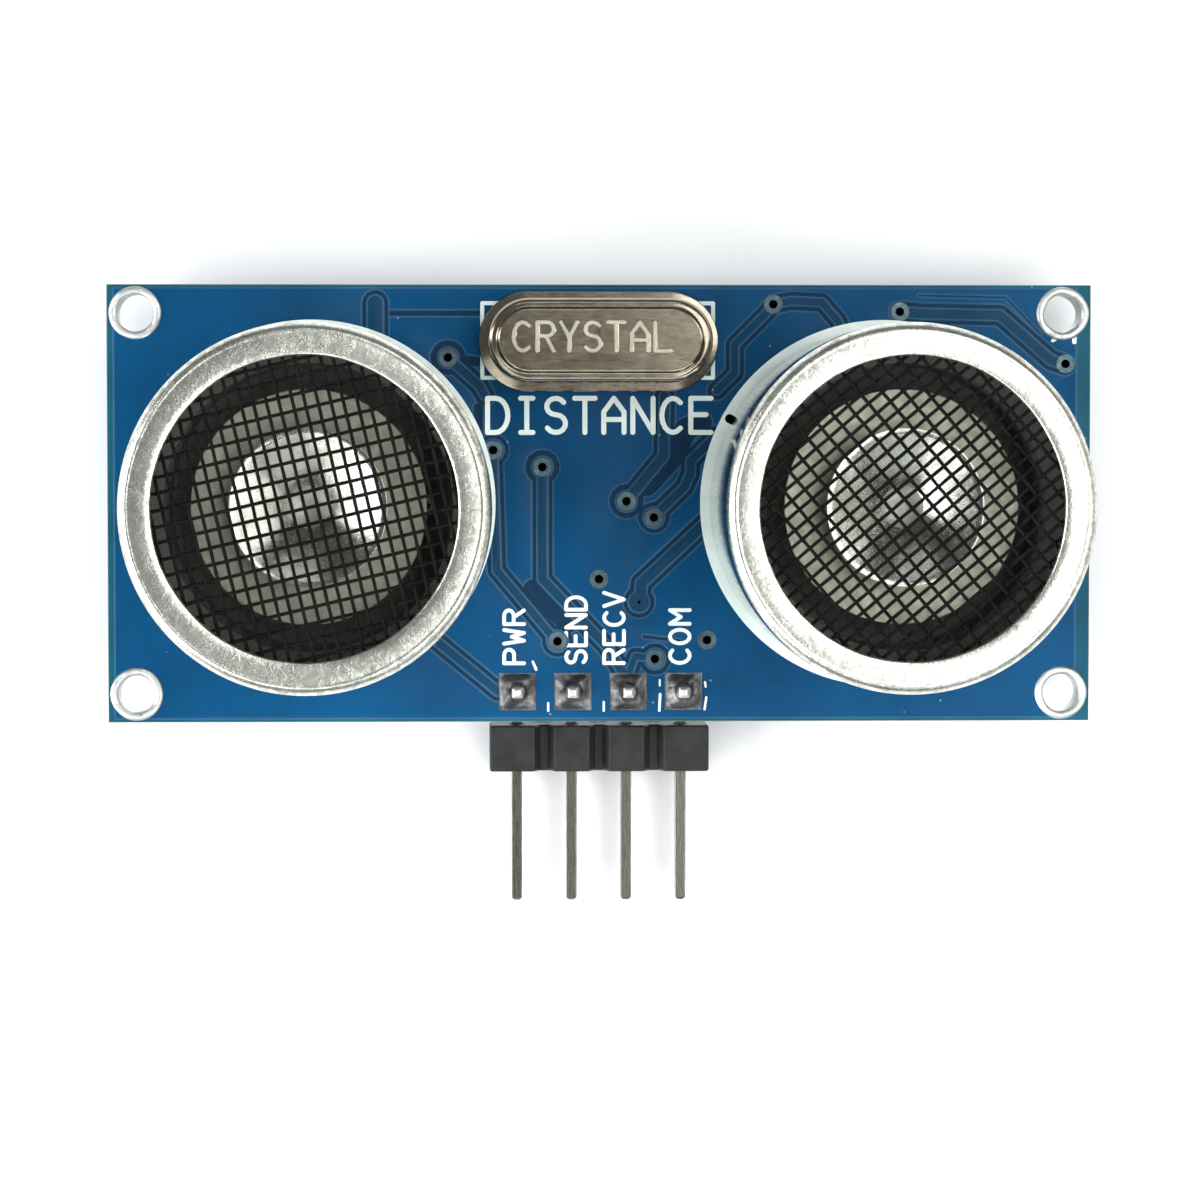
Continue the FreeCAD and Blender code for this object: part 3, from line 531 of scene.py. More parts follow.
MESH_BLACK = plastic_material("mesh_black_wire", (26, 25, 23), (14, 14, 13), 0.6, 8.0, 0.004, 1.12)
BASE_BLACK = base_material()
HEADER_BLACK = plastic_material("header_black_moulding", (46, 47, 47), (28, 29, 29), 0.5, 8.0, 0.02, 1.3)
CHIP_BLACK = plastic_material("chip_black_epoxy", (44, 45, 47), (28, 29, 31), 0.52, 16.0, 0.012)
SEALANT = plastic_material("sealant_resin", (40, 36, 34), (22, 20, 19), 0.35, 2.0, 0.03)
SOFT_RING = plastic_material("soft_ring_silicone", (226, 226, 222), (200, 200, 196), 0.5, 5.0, 0.01)
PIEZO = plastic_material("piezo_ceramic", (206, 200, 182), (176, 170, 150), 0.6, 10.0, 0.01)
SILICON = plastic_material("silicon_die", (96, 100, 116), (66, 70, 84), 0.25, 3.0, 0.002)
FILM_BLACK = plastic_material("resistor_film", (34, 34, 36), (20, 20, 22), 0.35, 7.0, 0.008)
WHITE_CERAMIC = plastic_material("resistor_ceramic", (222, 220, 212), (196, 194, 186), 0.5, 9.0, 0.006)
TAN_CERAMIC = plastic_material("capacitor_ceramic", (170, 142, 104), (140, 112, 78), 0.45, 8.0, 0.01)
SEAL_GLASS = glass_material("seal_glass", (120, 150, 132), 0.1)
QUARTZ = glass_material("quartz", (226, 232, 234), 0.15)

CAD_MATERIALS = {
    "laminate": LAMINATE,
    "tinned_copper": TIN,
    "solder": SOLDER,
    "can_metal": CAN_WALL,
    "mesh_wire": MESH_BLACK,
    "cone_metal": CONE,
    "plate_metal": PLATE,
    "piezo_ceramic": PIEZO,
    "soft_ring": SOFT_RING,
    "base_plastic": BASE_BLACK,
    "sealant": SEALANT,
    "terminal_metal": TERMINAL,
    "lead_wire": COPPER_WIRE,
    "crystal_metal": NICKEL,
    "seal_glass": SEAL_GLASS,
    "quartz": QUARTZ,
    "clip_metal": CLIP_METAL,
    "header_plastic": HEADER_BLACK,
    "pin_metal": PIN_TIN,
    "chip_moulding": CHIP_BLACK,
    "chip_lead": TERMINAL,
    "silicon": SILICON,
    "resistor_ceramic": FILM_BLACK,
    "capacitor_ceramic": TAN_CERAMIC,
    "end_cap": TERMINAL,
}
for subpart in frame["record"]["subparts"]:
    for holder in frame["nodes"][subpart["node"]].material_slots:
        holder.material = CAD_MATERIALS[subpart["material_slot"]]
frame["nodes"]["via_barrels"].material_slots[0].material = VIA_RING


# ---------------------------------------------------------------- the board's two faces

# Each track is a line of (side, up) points and its width; the copper around it keeps a gap.
FRONT_TRACKS = (
    (((-4.91, 2.41), (-4.75, -3.05), (-2.02, -6.31)), 0.42),
    (((-2.66, 1.67), (-2.66, -3.46), (0.28, -6.54), (1.28, -8.14)), 0.48),
    (((-7.66, -6.17), (-4.72, -8.6)), 0.45),
    (((1.19, 0.11), (2.89, 2.18), (2.94, 4.9)), 0.5),
    (((2.43, -0.62), (3.85, 0.76), (4.13, 1.4), (4.13, 1.95), (5.3, 3.1)), 0.45),
    (((1.79, -4.52), (1.88, -3.65), (5.3, -0.45)), 0.55),
    (((-6.97, 6.67), (-5.55, 5.39), (-5.28, 4.93)), 0.45),
    (((-10.28, 9.15), (-10.28, 7.0)), 0.75),
    (((7.94, 9.11), (7.57, 8.69), (6.15, 7.27), (6.15, 5.99), (5.32, 5.16)), 0.4),
    (((7.94, 9.11), (8.72, 9.27), (10.14, 9.2), (10.87, 8.37), (11.2, 7.6)), 0.4),
    (((13.72, 8.78), (14.68, 8.69), (18.33, 8.62), (20.67, 6.58), (21.33, 6.35)), 0.5),
    (((2.5, -7.13), (1.6, -7.0), (1.27, -7.9)), 0.35),
)
# Stretches without copper: (line, width).
FRONT_GAPS = (
    (((-9.54, 8.69), (-5.55, 8.69)), 0.32),
    (((14.59, 9.52), (18.56, 9.43), (20.18, 7.78)), 0.16),
    (((2.1, 0.95), (3.5, 2.5)), 1.3),
    (((3.5, 2.5), (3.9, 3.4), (4.6, 3.7)), 1.1),
    (((-3.1, -3.9), (-1.5, -5.5)), 0.95),
    (((-6.9, 6.67), (-5.0, 6.4)), 0.5),
    (((-5.6, 4.4), (-5.6, 2.9)), 0.5),
    (((3.6, -6.3), (2.0, -6.1)), 0.22),
)
# Vias that stand in a ring of bare laminate: (side, up, the ring's radius).
FRONT_HALOS = (
    (-4.91, 2.45, 0.62),
    (-2.66, 1.67, 0.82),
    (1.19, 0.11, 0.82),
    (2.45, -0.64, 0.72),
    (-6.97, 6.67, 0.84),
    (1.77, -4.52, 0.72),
    (2.5, -7.13, 0.7),
    (-1.97, -6.31, 0.62),
)
BACK_TRACKS = (
    (((-13.0, 9.2), (-10.0, 9.2), (-7.6, 6.8), (-7.6, 2.0)), 0.4),
    (((-8.0, 0.0), (-6.4, -1.6), (-6.4, -4.6), (-3.8, -7.2), (-3.81, PIN_UP)), 0.5),
    (((-2.5, 3.8), (-4.2, 3.8)), 0.35),
    (((-2.5, 2.54), (-3.4, 2.54), (-4.2, 3.1)), 0.35),
    (((-2.5, -1.27), (-4.2, -1.4)), 0.35),
    (((-2.5, -3.81), (-2.5, -5.6), (-1.27, -6.8), (-1.27, PIN_UP)), 0.35),
    (((2.5, -3.81), (2.5, -5.6), (1.27, -6.8), (1.27, PIN_UP)), 0.35),
    (((2.5, 1.27), (4.1, 1.6)), 0.35),
    (((2.5, 2.54), (3.3, 2.54), (4.1, 3.1)), 0.35),
    (((2.34, 7.4), (5.2, 7.4), (8.4, 7.2)), 0.4),
    (((-2.54, 7.4), (-5.4, 7.4), (-6.97, 6.67)), 0.4),
    (((10.3, 3.81), (8.6, 3.81), (7.2, 2.4), (5.7, 2.4)), 0.35),
    (((10.3, -1.27), (8.9, -1.27), (7.6, -2.6), (5.7, -2.9)), 0.35),
    (((15.6, 1.27), (17.0, 1.9), (19.4, 1.9)), 0.35),
    (((15.6, -3.81), (17.6, -4.4), (19.4, -4.4)), 0.35),
    (((18.0, 0.0), (19.3, 1.0), (21.35, 3.4), (21.35, 6.4)), 0.4),
    (((-15.6, 2.54), (-17.4, 3.8), (-19.4, 3.8)), 0.35),
    (((-15.6, -1.9), (-17.4, -2.4), (-19.4, -2.4)), 0.35),
    (((-10.3, -4.4), (-9.2, -5.6), (-8.4, -6.8)), 0.35),
    (((10.3, -3.81), (9.4, -5.2), (8.1, -6.9)), 0.35),
    (((3.81, PIN_UP), (5.6, PIN_UP), (6.8, -7.6)), 0.55),
)
BACK_HALOS = (
    (1.77, -4.52, 0.55),
    (4.89, -6.26, 0.6),
    (-0.07, -3.46, 0.6),
)
# The sheet of copper on each face: its left and right edges and its half height.
FRONT_POUR = (-22.2, 21.85, 9.84)
BACK_POUR = (-22.0, 22.0, 9.7)
TENTED = (1.77, -4.52)  # the one via that the resist closes, in a low mound
TENT_RADIUS, TENT_FOOT, TENT_RISE = 0.44, 0.52, 0.02
MASK_THIN, MASK_THICK = 0.012, 0.045
OVER_POUR, BARE, EDGE, OVER_TRACK, BORDER = range(5)  # the resist's material numbers
SLOPE = 0.045  # half the width over which the resist climbs on to copper
CLEARANCE = 0.26
VIA_LAND = 0.5
LAND_WIDTH = 1.7
RESIST_INSET = 0.03


def segment_distance(point, line):
    """The least distance from a flat point to a line of flat points."""
    best = math.inf
    spot = Vector((*point, 0))
    for a, b in zip(line, line[1:]):
        near, share = intersect_point_line(spot, Vector((*a, 0)), Vector((*b, 0)))
        if share < 0:
            near = Vector((*a, 0))
        elif share > 1:
            near = Vector((*b, 0))
        best = min(best, (spot - near).length)
    return best


def dot(side, up):
    """A line so short that a stroke along it is round."""
    return (side, up), (side + 0.001, up)


class Copper:
    """Where one face of the board has copper under its solder resist."""

    def __init__(self, tracks, gaps, halos, pour):
        self.tracks = [(line, width / 2) for line, width in tracks]
        self.tracks += [(dot(side, up), VIA_LAND) for side, up, _ in halos]
        self.gaps = [(line, reach + CLEARANCE) for line, reach in self.tracks]
        self.gaps += [(line, width / 2) for line, width in gaps]
        self.gaps += [(dot(side, up), reach) for side, up, reach in halos]
        self.pour = pour

    def depths(self, side, up):
        """How far a point is inside the pour and inside a track; negative where it is outside."""
        gap = min(segment_distance((side, up), line) - reach for line, reach in self.gaps)
        track = min(segment_distance((side, up), line) - reach for line, reach in self.tracks)
        return min(gap, self.inside_rim(side, up)), -track

    def inside_rim(self, side, up):
        left, right, high = self.pour
        return min(side - left, right - side, high - abs(up))

    def kind(self, side, up):
        """The material number of the resist at a point."""
        pour, track = self.depths(side, up)
        if max(pour, track) < -SLOPE:
            return BORDER if self.inside_rim(side, up) < 0 else BARE
        # the slopes take the lighter resist, a painted edge highlight
        if max(pour, track) <= SLOPE:
            return EDGE
        return OVER_POUR if pour > track else OVER_TRACK

    def height(self, side, up):
        if math.dist((side, up), TENTED) < TENT_RADIUS + 0.02:
            return MASK_THICK + TENT_RISE
        share = min(1.0, max(0.0, (max(self.depths(side, up)) + SLOPE) / (2 * SLOPE)))
        return MASK_THIN + (MASK_THICK - MASK_THIN) * share * share * (3 - 2 * share)

    def outlines(self):
        """Every line along which the resist starts or stops sloping."""
        made = []
        for line, reach in self.tracks + self.gaps:
            for offset in (-SLOPE, SLOPE):
                if reach + offset > 0:
                    made += strokes(line, reach + offset)
        left, right, high = self.pour
        for offset in (-SLOPE, SLOPE):
            corners = [(left - offset, -high - offset), (right + offset, -high - offset)]
            made.append(corners + [(right + offset, high + offset), (left - offset, high + offset)])
        return made + [circle(radius, 24, *TENTED) for radius in (TENT_RADIUS, TENT_FOOT)]


def resist(name, copper, openings, place):
    """The solder resist of one face, standing proud over the copper that it covers."""
    wide = board_high.x - RESIST_INSET
    high = board_high.z - RESIST_INSET
    outline = [(-wide, -high), (wide, -high), (wide, high), (-wide, high)]
    lines = []
    for line in copper.outlines():
        lines.append([(max(-wide, min(wide, x)), max(-high, min(high, y))) for x, y in line])
    points, triangles = flat_mesh([outline], openings, lines)
    mould = Mould()
    mould.add(*slab(points, triangles, copper.height, 0.0, place))
    for number, (a, b, c) in enumerate(upward(points, triangles)):
        side = sum(points[i][0] for i in (a, b, c)) / 3
        up = sum(points[i][1] for i in (a, b, c)) / 3
        mould.marks[number] = copper.kind(side, up)
    materials = [MASK_COPPER, MASK_BARE, MASK_EDGE_HIGHLIGHT, MASK_TRACK, MASK_BORDER]
    mould.make(name, materials, crease=60.0, finish="laminate")


def loose_boxes(node):
    """The boxes of a node's separate solids, as (low, high) in millimetres."""
    mesh = frame["nodes"][node].data
    parent = list(range(len(mesh.vertices)))

    def root(i):
        while parent[i] != i:
            parent[i] = parent[parent[i]]
            i = parent[i]
        return i

    seen = {}
    for vertex in mesh.vertices:
        key = tuple(round(c / MM, 3) for c in vertex.co)
        if key in seen:
            parent[root(vertex.index)] = root(seen[key])
        seen.setdefault(key, vertex.index)
    for edge in mesh.edges:
        parent[root(edge.vertices[0])] = root(edge.vertices[1])
    groups = {}
    for vertex in mesh.vertices:
        groups.setdefault(root(vertex.index), []).append(vertex.co / MM)
    boxes = []
    for members in groups.values():
        low = Vector(min(v[i] for v in members) for i in range(3))
        high = Vector(max(v[i] for v in members) for i in range(3))
        boxes.append((low, high))
    return boxes


def centres(node):
    """The middles of a node's separate solids, as (side, up), from edges rounded to 0.01 mm."""
    boxes = [[[round(c, 2) for c in corner] for corner in box] for box in loose_boxes(node)]
    return [((low[0] + high[0]) / 2, (low[2] + high[2]) / 2) for low, high in boxes]


CORNERS = centres("corner_hole_rings")
VIAS = [place for place in centres("via_barrels") if math.dist(place, TENTED) > VIA_LAND]


def square(side, up, width, height=None):
    half, tall = width / 2, (height or width) / 2
    left, right, low, high = side - half, side + half, up - tall, up + tall
    return [(left, low), (right, low), (right, high), (left, high)]


def discs(radius, count, places):
    return [circle(radius, count, *place) for place in places]


corner_openings = discs(1.2, 40, CORNERS)
front_openings = corner_openings + discs(0.4, 24, VIAS) + discs(0.07, 12, [TENTED])
front_openings += [square(*place, LAND_WIDTH + 0.02) for place in PIN_PLACES]
resist("front_resist", Copper(FRONT_TRACKS, FRONT_GAPS, FRONT_HALOS, FRONT_POUR), front_openings, front)
back_openings = corner_openings + discs(0.85, 32, PIN_PLACES)
back_openings += discs(1.12, 36, centres("transducer_solder")) + discs(0.83, 32, centres("crystal_solder"))
resist("back_resist", Copper(BACK_TRACKS, (), BACK_HALOS, BACK_POUR), back_openings, back)


# ---------------------------------------------------------------- white printing

# Capitals as pen strokes in a box one wide and one high.
GLYPHS = {
    "A": ([(0, 0), (0, 0.6), (0.5, 1), (1, 0.6), (1, 0)], [(0, 0.38), (1, 0.38)]),
    "C": (arc(0.55, 0.5, 0.55, 0.5, 48, 312, 12),),
    "D": ([(0.4, 0), (0, 0), (0, 1), (0.4, 1)], arc(0.4, 0.5, 0.6, 0.5, 90, -90, 10)),
    "E": ([(1, 1), (0, 1), (0, 0), (1, 0)], [(0, 0.52), (0.75, 0.52)]),
    "I": ([(0.5, 0), (0.5, 1)], [(0.2, 0), (0.8, 0)], [(0.2, 1), (0.8, 1)]),
    "L": ([(0, 1), (0, 0), (1, 0)],),
    "M": ([(0, 0), (0, 1), (0.5, 0.45), (1, 1), (1, 0)],),
    "N": ([(0, 0), (0, 1), (1, 0), (1, 1)],),
    "O": (arc(0.5, 0.5, 0.5, 0.5, 0, 360, 16),),
    "P": ([(0, 0), (0, 1), (0.6, 1)], arc(0.6, 0.75, 0.4, 0.25, 90, -90, 8), [(0.6, 0.5), (0, 0.5)]),
    "R": ([(0, 0), (0, 1), (0.6, 1)], arc(0.6, 0.76, 0.4, 0.24, 90, -90, 8), [(0.6, 0.52), (0, 0.52)],
          [(0.5, 0.52), (1, 0)]),
    "S": (arc(0.5, 0.76, 0.45, 0.24, 30, 270, 9), arc(0.5, 0.26, 0.48, 0.26, 90, -150, 9)),
    "T": ([(0, 1), (1, 1)], [(0.5, 1), (0.5, 0)]),
    "V": ([(0, 1), (0.5, 0), (1, 1)],),
    "W": ([(0, 1), (0.22, 0), (0.5, 0.62), (0.78, 0), (1, 1)],),
    "Y": ([(0, 1), (0.5, 0.48), (1, 1)], [(0.5, 0.48), (0.5, 0)]),
}
LETTER_SHARE = 0.7


def pen_lines(text, left, low, width, height, reach, upright=False):
    """The pen's path through capitals that fill a box; upright lettering reads from foot to head."""
    length, tall = (height, width) if upright else (width, height)
    step = (length - 2 * reach) / (len(text) - 1 + LETTER_SHARE)
    tall -= 2 * reach
    lines = []
    for number, letter in enumerate(text):
        for line in GLYPHS[letter]:
            pen = [(reach + step * (number + LETTER_SHARE * x), reach + tall * y) for x, y in line]
            if upright:
                lines.append([(left + width - y, low + x) for x, y in pen])
            else:
                lines.append([(left + x, low + y) for x, y in pen])
    return lines


def lettering(text, left, low, width, height, reach, upright=False):
    lines = pen_lines(text, left, low, width, height, reach, upright)
    return [outline for line in lines for outline in strokes(line, reach)]


def frame_line(left, low, right, high, reach):
    return strokes([(left, low), (right, low), (right, high), (left, high), (left, low)], reach)


INK_LOW, INK_TOP = 0.005, 0.07
RING_WIDTH = 0.4
RING_SHIFT = {"transmitter": -0.2, "receiver": -0.04}
TITLE_BOX = (-5.28, 3.14, 10.46, 1.79)  # left, low, width and height
TITLE_REACH, LABEL_REACH = 0.115, 0.085  # half the width of a pen line
LABEL_WIDTH = 1.08
# Printed frames as left, low, right and high.
CRYSTAL_FRAME = (-5.4, 5.75, 5.15, 9.15)
BACK_FRAMES = ((-4.75, 5.75, 4.55, 9.05), (-5.08, -9.85, 5.08, -7.55))
# The pins' labels, each as (text, left, low, length up the board).
PIN_LABELS = (
    ("PWR", -4.5, -7.4, 2.6),
    ("SEND", -1.66, -7.4, 3.2),
    ("RECV", 0.08, -7.4, 3.4),
    ("COM", 3.1, -7.4, 2.6),
)
# Broken bits of printing left between the pads and by one corner, as (line, half width).
FLECKS = (
    (((-3.1, -7.25), (-2.95, -7.6)), 0.06),
    (((-2.4, -9.15), (-2.4, -9.5)), 0.05),
    (((0.15, -9.1), (0.15, -9.5)), 0.05),
    (((2.72, -8.1), (2.72, -8.35)), 0.04),
    (((2.74, -8.75), (2.7, -9.5)), 0.06),
    (((4.8, -8.2), (4.83, -8.4)), 0.05),
    (((4.86, -8.9), (4.78, -9.45)), 0.05),
    (((21.75, 7.4), (21.75, 7.65)), 0.1),
    (((20.75, 7.46), (20.95, 7.56)), 0.07),
)


def ink(name, shapes, holes, place):
    printed(name, shapes, holes, INK_LOW, INK_TOP - INK_LOW, place, WHITE_INK, "laminate")


def front_printing():
    """The title, the pin labels, the crystal's outline and a ring round each can."""
    shapes = lettering("DISTANCE", *TITLE_BOX, TITLE_REACH)
    for label, left, low, length in PIN_LABELS:
        shapes += lettering(label, left, low, LABEL_WIDTH, length, LABEL_REACH, upright=True)
    for line, reach in FLECKS:
        shapes += strokes(line, reach)
    around_corners = discs(1.25, 40, CORNERS)
    keep_clear = discs(0.5, 20, VIAS) + around_corners
    ink("front_lettering", shapes, keep_clear, front)
    ink("crystal_outline", frame_line(*CRYSTAL_FRAME, 0.09), keep_clear, front)
    for name, side in CAN_SIDES.items():
        outer = circle(CAN_RADIUS + RING_WIDTH, 160, side + RING_SHIFT[name])
        foot = circle(CAN_RADIUS - 0.03, 160, side)
        ink(f"{name}_outline", [outer], discs(0.22, 20, VIAS) + around_corners + [foot], front)


def back_printing():
    """Outlines of the parts on the back, with a dot by each chip's first lead."""
    shapes = []
    for middle, half in BACK_CHIPS.values():
        for along in (-half, half):
            shapes += strokes([(middle - 1.9, along), (middle + 1.9, along)], 0.07)
        shapes.append(circle(0.16, 16, middle - 3.3, -half))
    for name in ("resistor", "capacitor"):
        for side, up, upright in small_spots(name):
            wide, tall = swapped(upright, 1.3, 0.62)
            shapes += frame_line(side - wide, up - tall, side + wide, up + tall, 0.06)
    for corners in BACK_FRAMES:
        shapes += frame_line(*corners, 0.07)
    keep_clear = discs(0.9, 24, PIN_PLACES)
    for node, reach in (("transducer_solder", 1.2), ("crystal_solder", 0.95), ("corner_hole_rings", 1.3)):
        keep_clear += discs(reach, 32, centres(node))
    ink("back_lettering", shapes, keep_clear, back)


# ---------------------------------------------------------------- transducers

MOUTH_RADIUS = 6.55
LIP_UNDERSIDE = CAN_HEIGHT - 0.4
INNER_RADIUS = CAN_RADIUS - 0.45
ROUNDING = 0.6
FOLD_ANGLE = 67  # degrees
GROOVE_RADIUS = 7.52
MOUTH_ROUNDING = 0.12
LIP, WALL = 0, 1  # material numbers
# The lip's face from the fold inwards, as (radius, how far below the top).
LIP_FACE = (
    (GROOVE_RADIUS + 0.04, 0.003),
    (GROOVE_RADIUS, 0.012),
    (GROOVE_RADIUS - 0.05, 0.004),
    (7.1, 0.0),
    (6.9, 0.004),
    (6.72, 0.012),
)
AROUND = 144


def can_profile():
    """The can's section as (radius, height, material number), up its outside and down its inside."""
    wall_top = CAN_HEIGHT - ROUNDING * math.sin(math.radians(FOLD_ANGLE))
    section = [(CAN_RADIUS, height, WALL) for height in (0.0, 0.5, 3.0, 6.0, 9.0, wall_top)]
    face = arc(CAN_RADIUS - ROUNDING, wall_top, ROUNDING, ROUNDING, 8, FOLD_ANGLE, 9)
    face += [(radius, CAN_HEIGHT - dip) for radius, dip in LIP_FACE]
    middle = (MOUTH_RADIUS + MOUTH_ROUNDING, CAN_HEIGHT - MOUTH_ROUNDING - 0.02)
    face += arc(*middle, MOUTH_ROUNDING, MOUTH_ROUNDING, 80, 180, 4)
    face.append((MOUTH_RADIUS, LIP_UNDERSIDE + 0.05))
    section += [(radius, height, LIP) for radius, height in face]
    section += [(MOUTH_RADIUS + 0.05, LIP_UNDERSIDE, WALL), (INNER_RADIUS, LIP_UNDERSIDE, WALL)]
    return section + [(INNER_RADIUS, 0.0, WALL)]


def can_case(name, side, seed):
    """The drawn can, its rounded edge slightly uneven where it was turned in over the mesh."""
    section = can_profile()

    def wobble(radius, height, angle):
        if height > LIP_UNDERSIDE + 0.3:
            near_groove = math.exp(-((radius - GROOVE_RADIUS) / 0.12) ** 2)
            radius += 0.05 * near_groove * lump(angle, 2.3, seed * 2.3)
            height -= 0.02 * near_groove * max(0.0, lump(angle, 4.0, seed * 4.0) + 0.2)
            height -= 0.006 * (lump(angle, 1.7, seed * 1.7 + radius) + 1)
        if radius < MOUTH_RADIUS + 0.08:
            radius += 0.02 * lump(angle, 3.1, seed * 3.1)
        return radius, height

    profile = [(radius, height) for radius, height, _ in section]
    mould = Mould()
    mould.add(*turned(profile, AROUND, front, side, wobble=wobble))
    mould.marks = [section[i // AROUND][2] for i in range(len(mould.faces))]
    materials = [CAN_LIP, CAN_WALL]
    mould.make(f"{name}_can", materials, crease=50.0, replaced=[f"{name}_case"], finish="can_metal")


MESH_TURNS = {"transmitter": 13.3, "receiver": -49.7}  # degrees
PITCHES = {"transmitter": (0.538, 0.695), "receiver": (0.513, 0.743)}
WIRE_RADIUS = 0.084
WIRE_WAVE = 0.07
MESH_MIDDLE = LIP_UNDERSIDE - 0.16
MESH_REACH = 7.4


def wire_tube(mould, path, radius, sides=5):
    """A tube of constant thickness along a path of 3-D points, closed at its ends."""
    rings = []
    for i, point in enumerate(path):
        along = (path[min(i + 1, len(path) - 1)] - path[max(i - 1, 0)]).normalized()
        across = along.cross(Vector((0, 1, 0))).normalized()
        third = across.cross(along)
        rings.append([point + across * x + third * y for x, y in circle(radius, sides)])
    mould.add(*loft(rings, close_first=True, close_last=True))


def woven_mesh(name, side):
    """The plain-woven screen: each wire passes over and under the wires that it crosses."""
    mould = Mould()
    turn = math.radians(MESH_TURNS[name])
    for own in (0, 1):
        pitch, crossing = PITCHES[name][own], PITCHES[name][1 - own]
        heading = turn + (math.pi / 2 if own == 0 else 0.0)
        along = Vector((math.cos(heading), math.sin(heading)))
        across = Vector((-along.y, along.x))
        count = int(MESH_REACH / pitch)
        for number in range(-count, count + 1):
            offset = number * pitch
            half = math.sqrt(max(0.0, MESH_REACH ** 2 - offset ** 2))
            if half < crossing:
                continue
            drift = dice.uniform(-0.02, 0.02)
            lean = dice.uniform(-0.03, 0.03)
            steps = max(4, int(round(2 * half / (crossing / 2))))
            path = []
            for i in range(steps + 1):
                run = -half + 2 * half * i / steps
                phase = math.pi * (run / crossing + number + own)
                shift = offset + drift + lean * run / half
                spot = along * run + across * shift
                path.append(front(side + spot.x, spot.y, MESH_MIDDLE + WIRE_WAVE * math.cos(phase)))
            wire_tube(mould, path, WIRE_RADIUS)
    mould.make(f"{name}_screen", [MESH_BLACK], crease=80.0, replaced=[f"{name}_mesh"], finish="mesh_wire")


AXIS = 0.001  # a turned section stops just short of its axis
HORN_LOW, HORN_RISE = 7.6, 1.6
HORN_FOOT, HORN_RIM = 0.7, 3.45
HORN_WALL = 0.12
HORN_FLARE = 0.8
HORN_STEPS = 12
HUB_RADIUS = 0.9
HORN_AROUND = 72


def horn_wall(low, rim, steps):
    """The flaring wall as (radius, height), for the given steps from foot to rim."""
    shares = [step / HORN_STEPS for step in steps]
    climb = HORN_RISE - HORN_WALL
    return [(HORN_FOOT + (rim - HORN_FOOT) * share, low + climb * share ** HORN_FLARE) for share in shares]


def horn(name, side, tilt):
    """The thin metal horn: a flat foot with a dull hub, a flaring wall and a blunt rim."""
    floor = HORN_LOW + HORN_WALL
    profile = [(AXIS, floor), (HORN_FOOT * 0.75, floor)]
    profile += horn_wall(floor, HORN_RIM - 0.06, range(1, HORN_STEPS + 1))
    top = HORN_LOW + HORN_RISE
    profile += [(HORN_RIM, top - 0.01), (HORN_RIM, top - HORN_WALL)]
    profile += horn_wall(HORN_LOW, HORN_RIM, range(HORN_STEPS - 1, -1, -1))
    profile.append((AXIS, HORN_LOW))

    def dents(radius, height, angle):
        return radius, height + 0.05 * lump(angle, 0.9, tilt * 0.9) * radius / HORN_RIM

    mould = Mould()
    mould.add(*turned(profile, HORN_AROUND, front, side, wobble=dents))
    levels = (i // HORN_AROUND for i in range(len(mould.faces)))
    mould.marks = [1 if profile[level][0] < HUB_RADIUS else 0 for level in levels]
    mould.make(f"{name}_horn", [CONE, HUB], crease=40.0, replaced=[f"{name}_cone"], finish="cone_metal")


# ---------------------------------------------------------------- crystal

CRYSTAL_TOP = 3.5
CRYSTAL_SIZE = (10.15, 3.8)
FLANGE_SIZE = (10.95, 4.55)
FLANGE_LOW, FLANGE_TOP = 0.1, 0.45
PRESSED = (0.07, 0.11)  # the marking is deep up to the first distance from the pen's line
PRESSED_DEPTH = 0.03
MARKING_BOX = (-4.0, -0.6, 7.3, 1.5)  # left, low, width and height, from the crystal's middle
COVER_WALL = 0.25
COVER_ROUNDING = 0.32
PANEL_INSET, PANEL_RISE = 0.56, 0.2


def inset_stadium(inset, size):
    return stadium(size[0] - 2 * inset, size[1] - 2 * inset, 64)


def stadium_ring(inset, height, size):
    return [front(CRYSTAL_SIDE + x, CRYSTAL_UP + y, height) for x, y in inset_stadium(inset, size)]


def crystal_cover():
    """The crystal's drawn can, with a raised panel and its marking pressed into the top."""
    shelf = CRYSTAL_TOP - PANEL_RISE
    rounding = arc(0.0, 0.0, COVER_ROUNDING, COVER_ROUNDING, 0, 90)
    levels = [(0.0, height) for height in (FLANGE_TOP + 0.02, 1.2, 2.2)]
    levels += [(COVER_ROUNDING - x, shelf - COVER_ROUNDING + y) for x, y in rounding]
    levels += [(COVER_ROUNDING + 0.06, shelf + 0.01), (PANEL_INSET - 0.14, shelf + 0.035)]
    levels += [(PANEL_INSET - 0.08, CRYSTAL_TOP - 0.04), (PANEL_INSET - 0.04, CRYSTAL_TOP - 0.012)]
    levels.append((PANEL_INSET, CRYSTAL_TOP))
    rings = [stadium_ring(inset, height, CRYSTAL_SIZE) for inset, height in levels]
    inside = (CRYSTAL_TOP - COVER_WALL, FLANGE_TOP + 0.02)
    hollow = [stadium_ring(COVER_WALL, height, CRYSTAL_SIZE) for height in inside]
    mould = Mould()
    mould.add(*loft(rings))
    mould.add(*loft(hollow, close_first=True))
    mould.add(*loft([hollow[-1], rings[0]]))
    marked_panel(mould)
    materials = [NICKEL, MARKING]
    mould.make("crystal_cover", materials, crease=25.0, replaced=["crystal_can"], finish="crystal_metal")


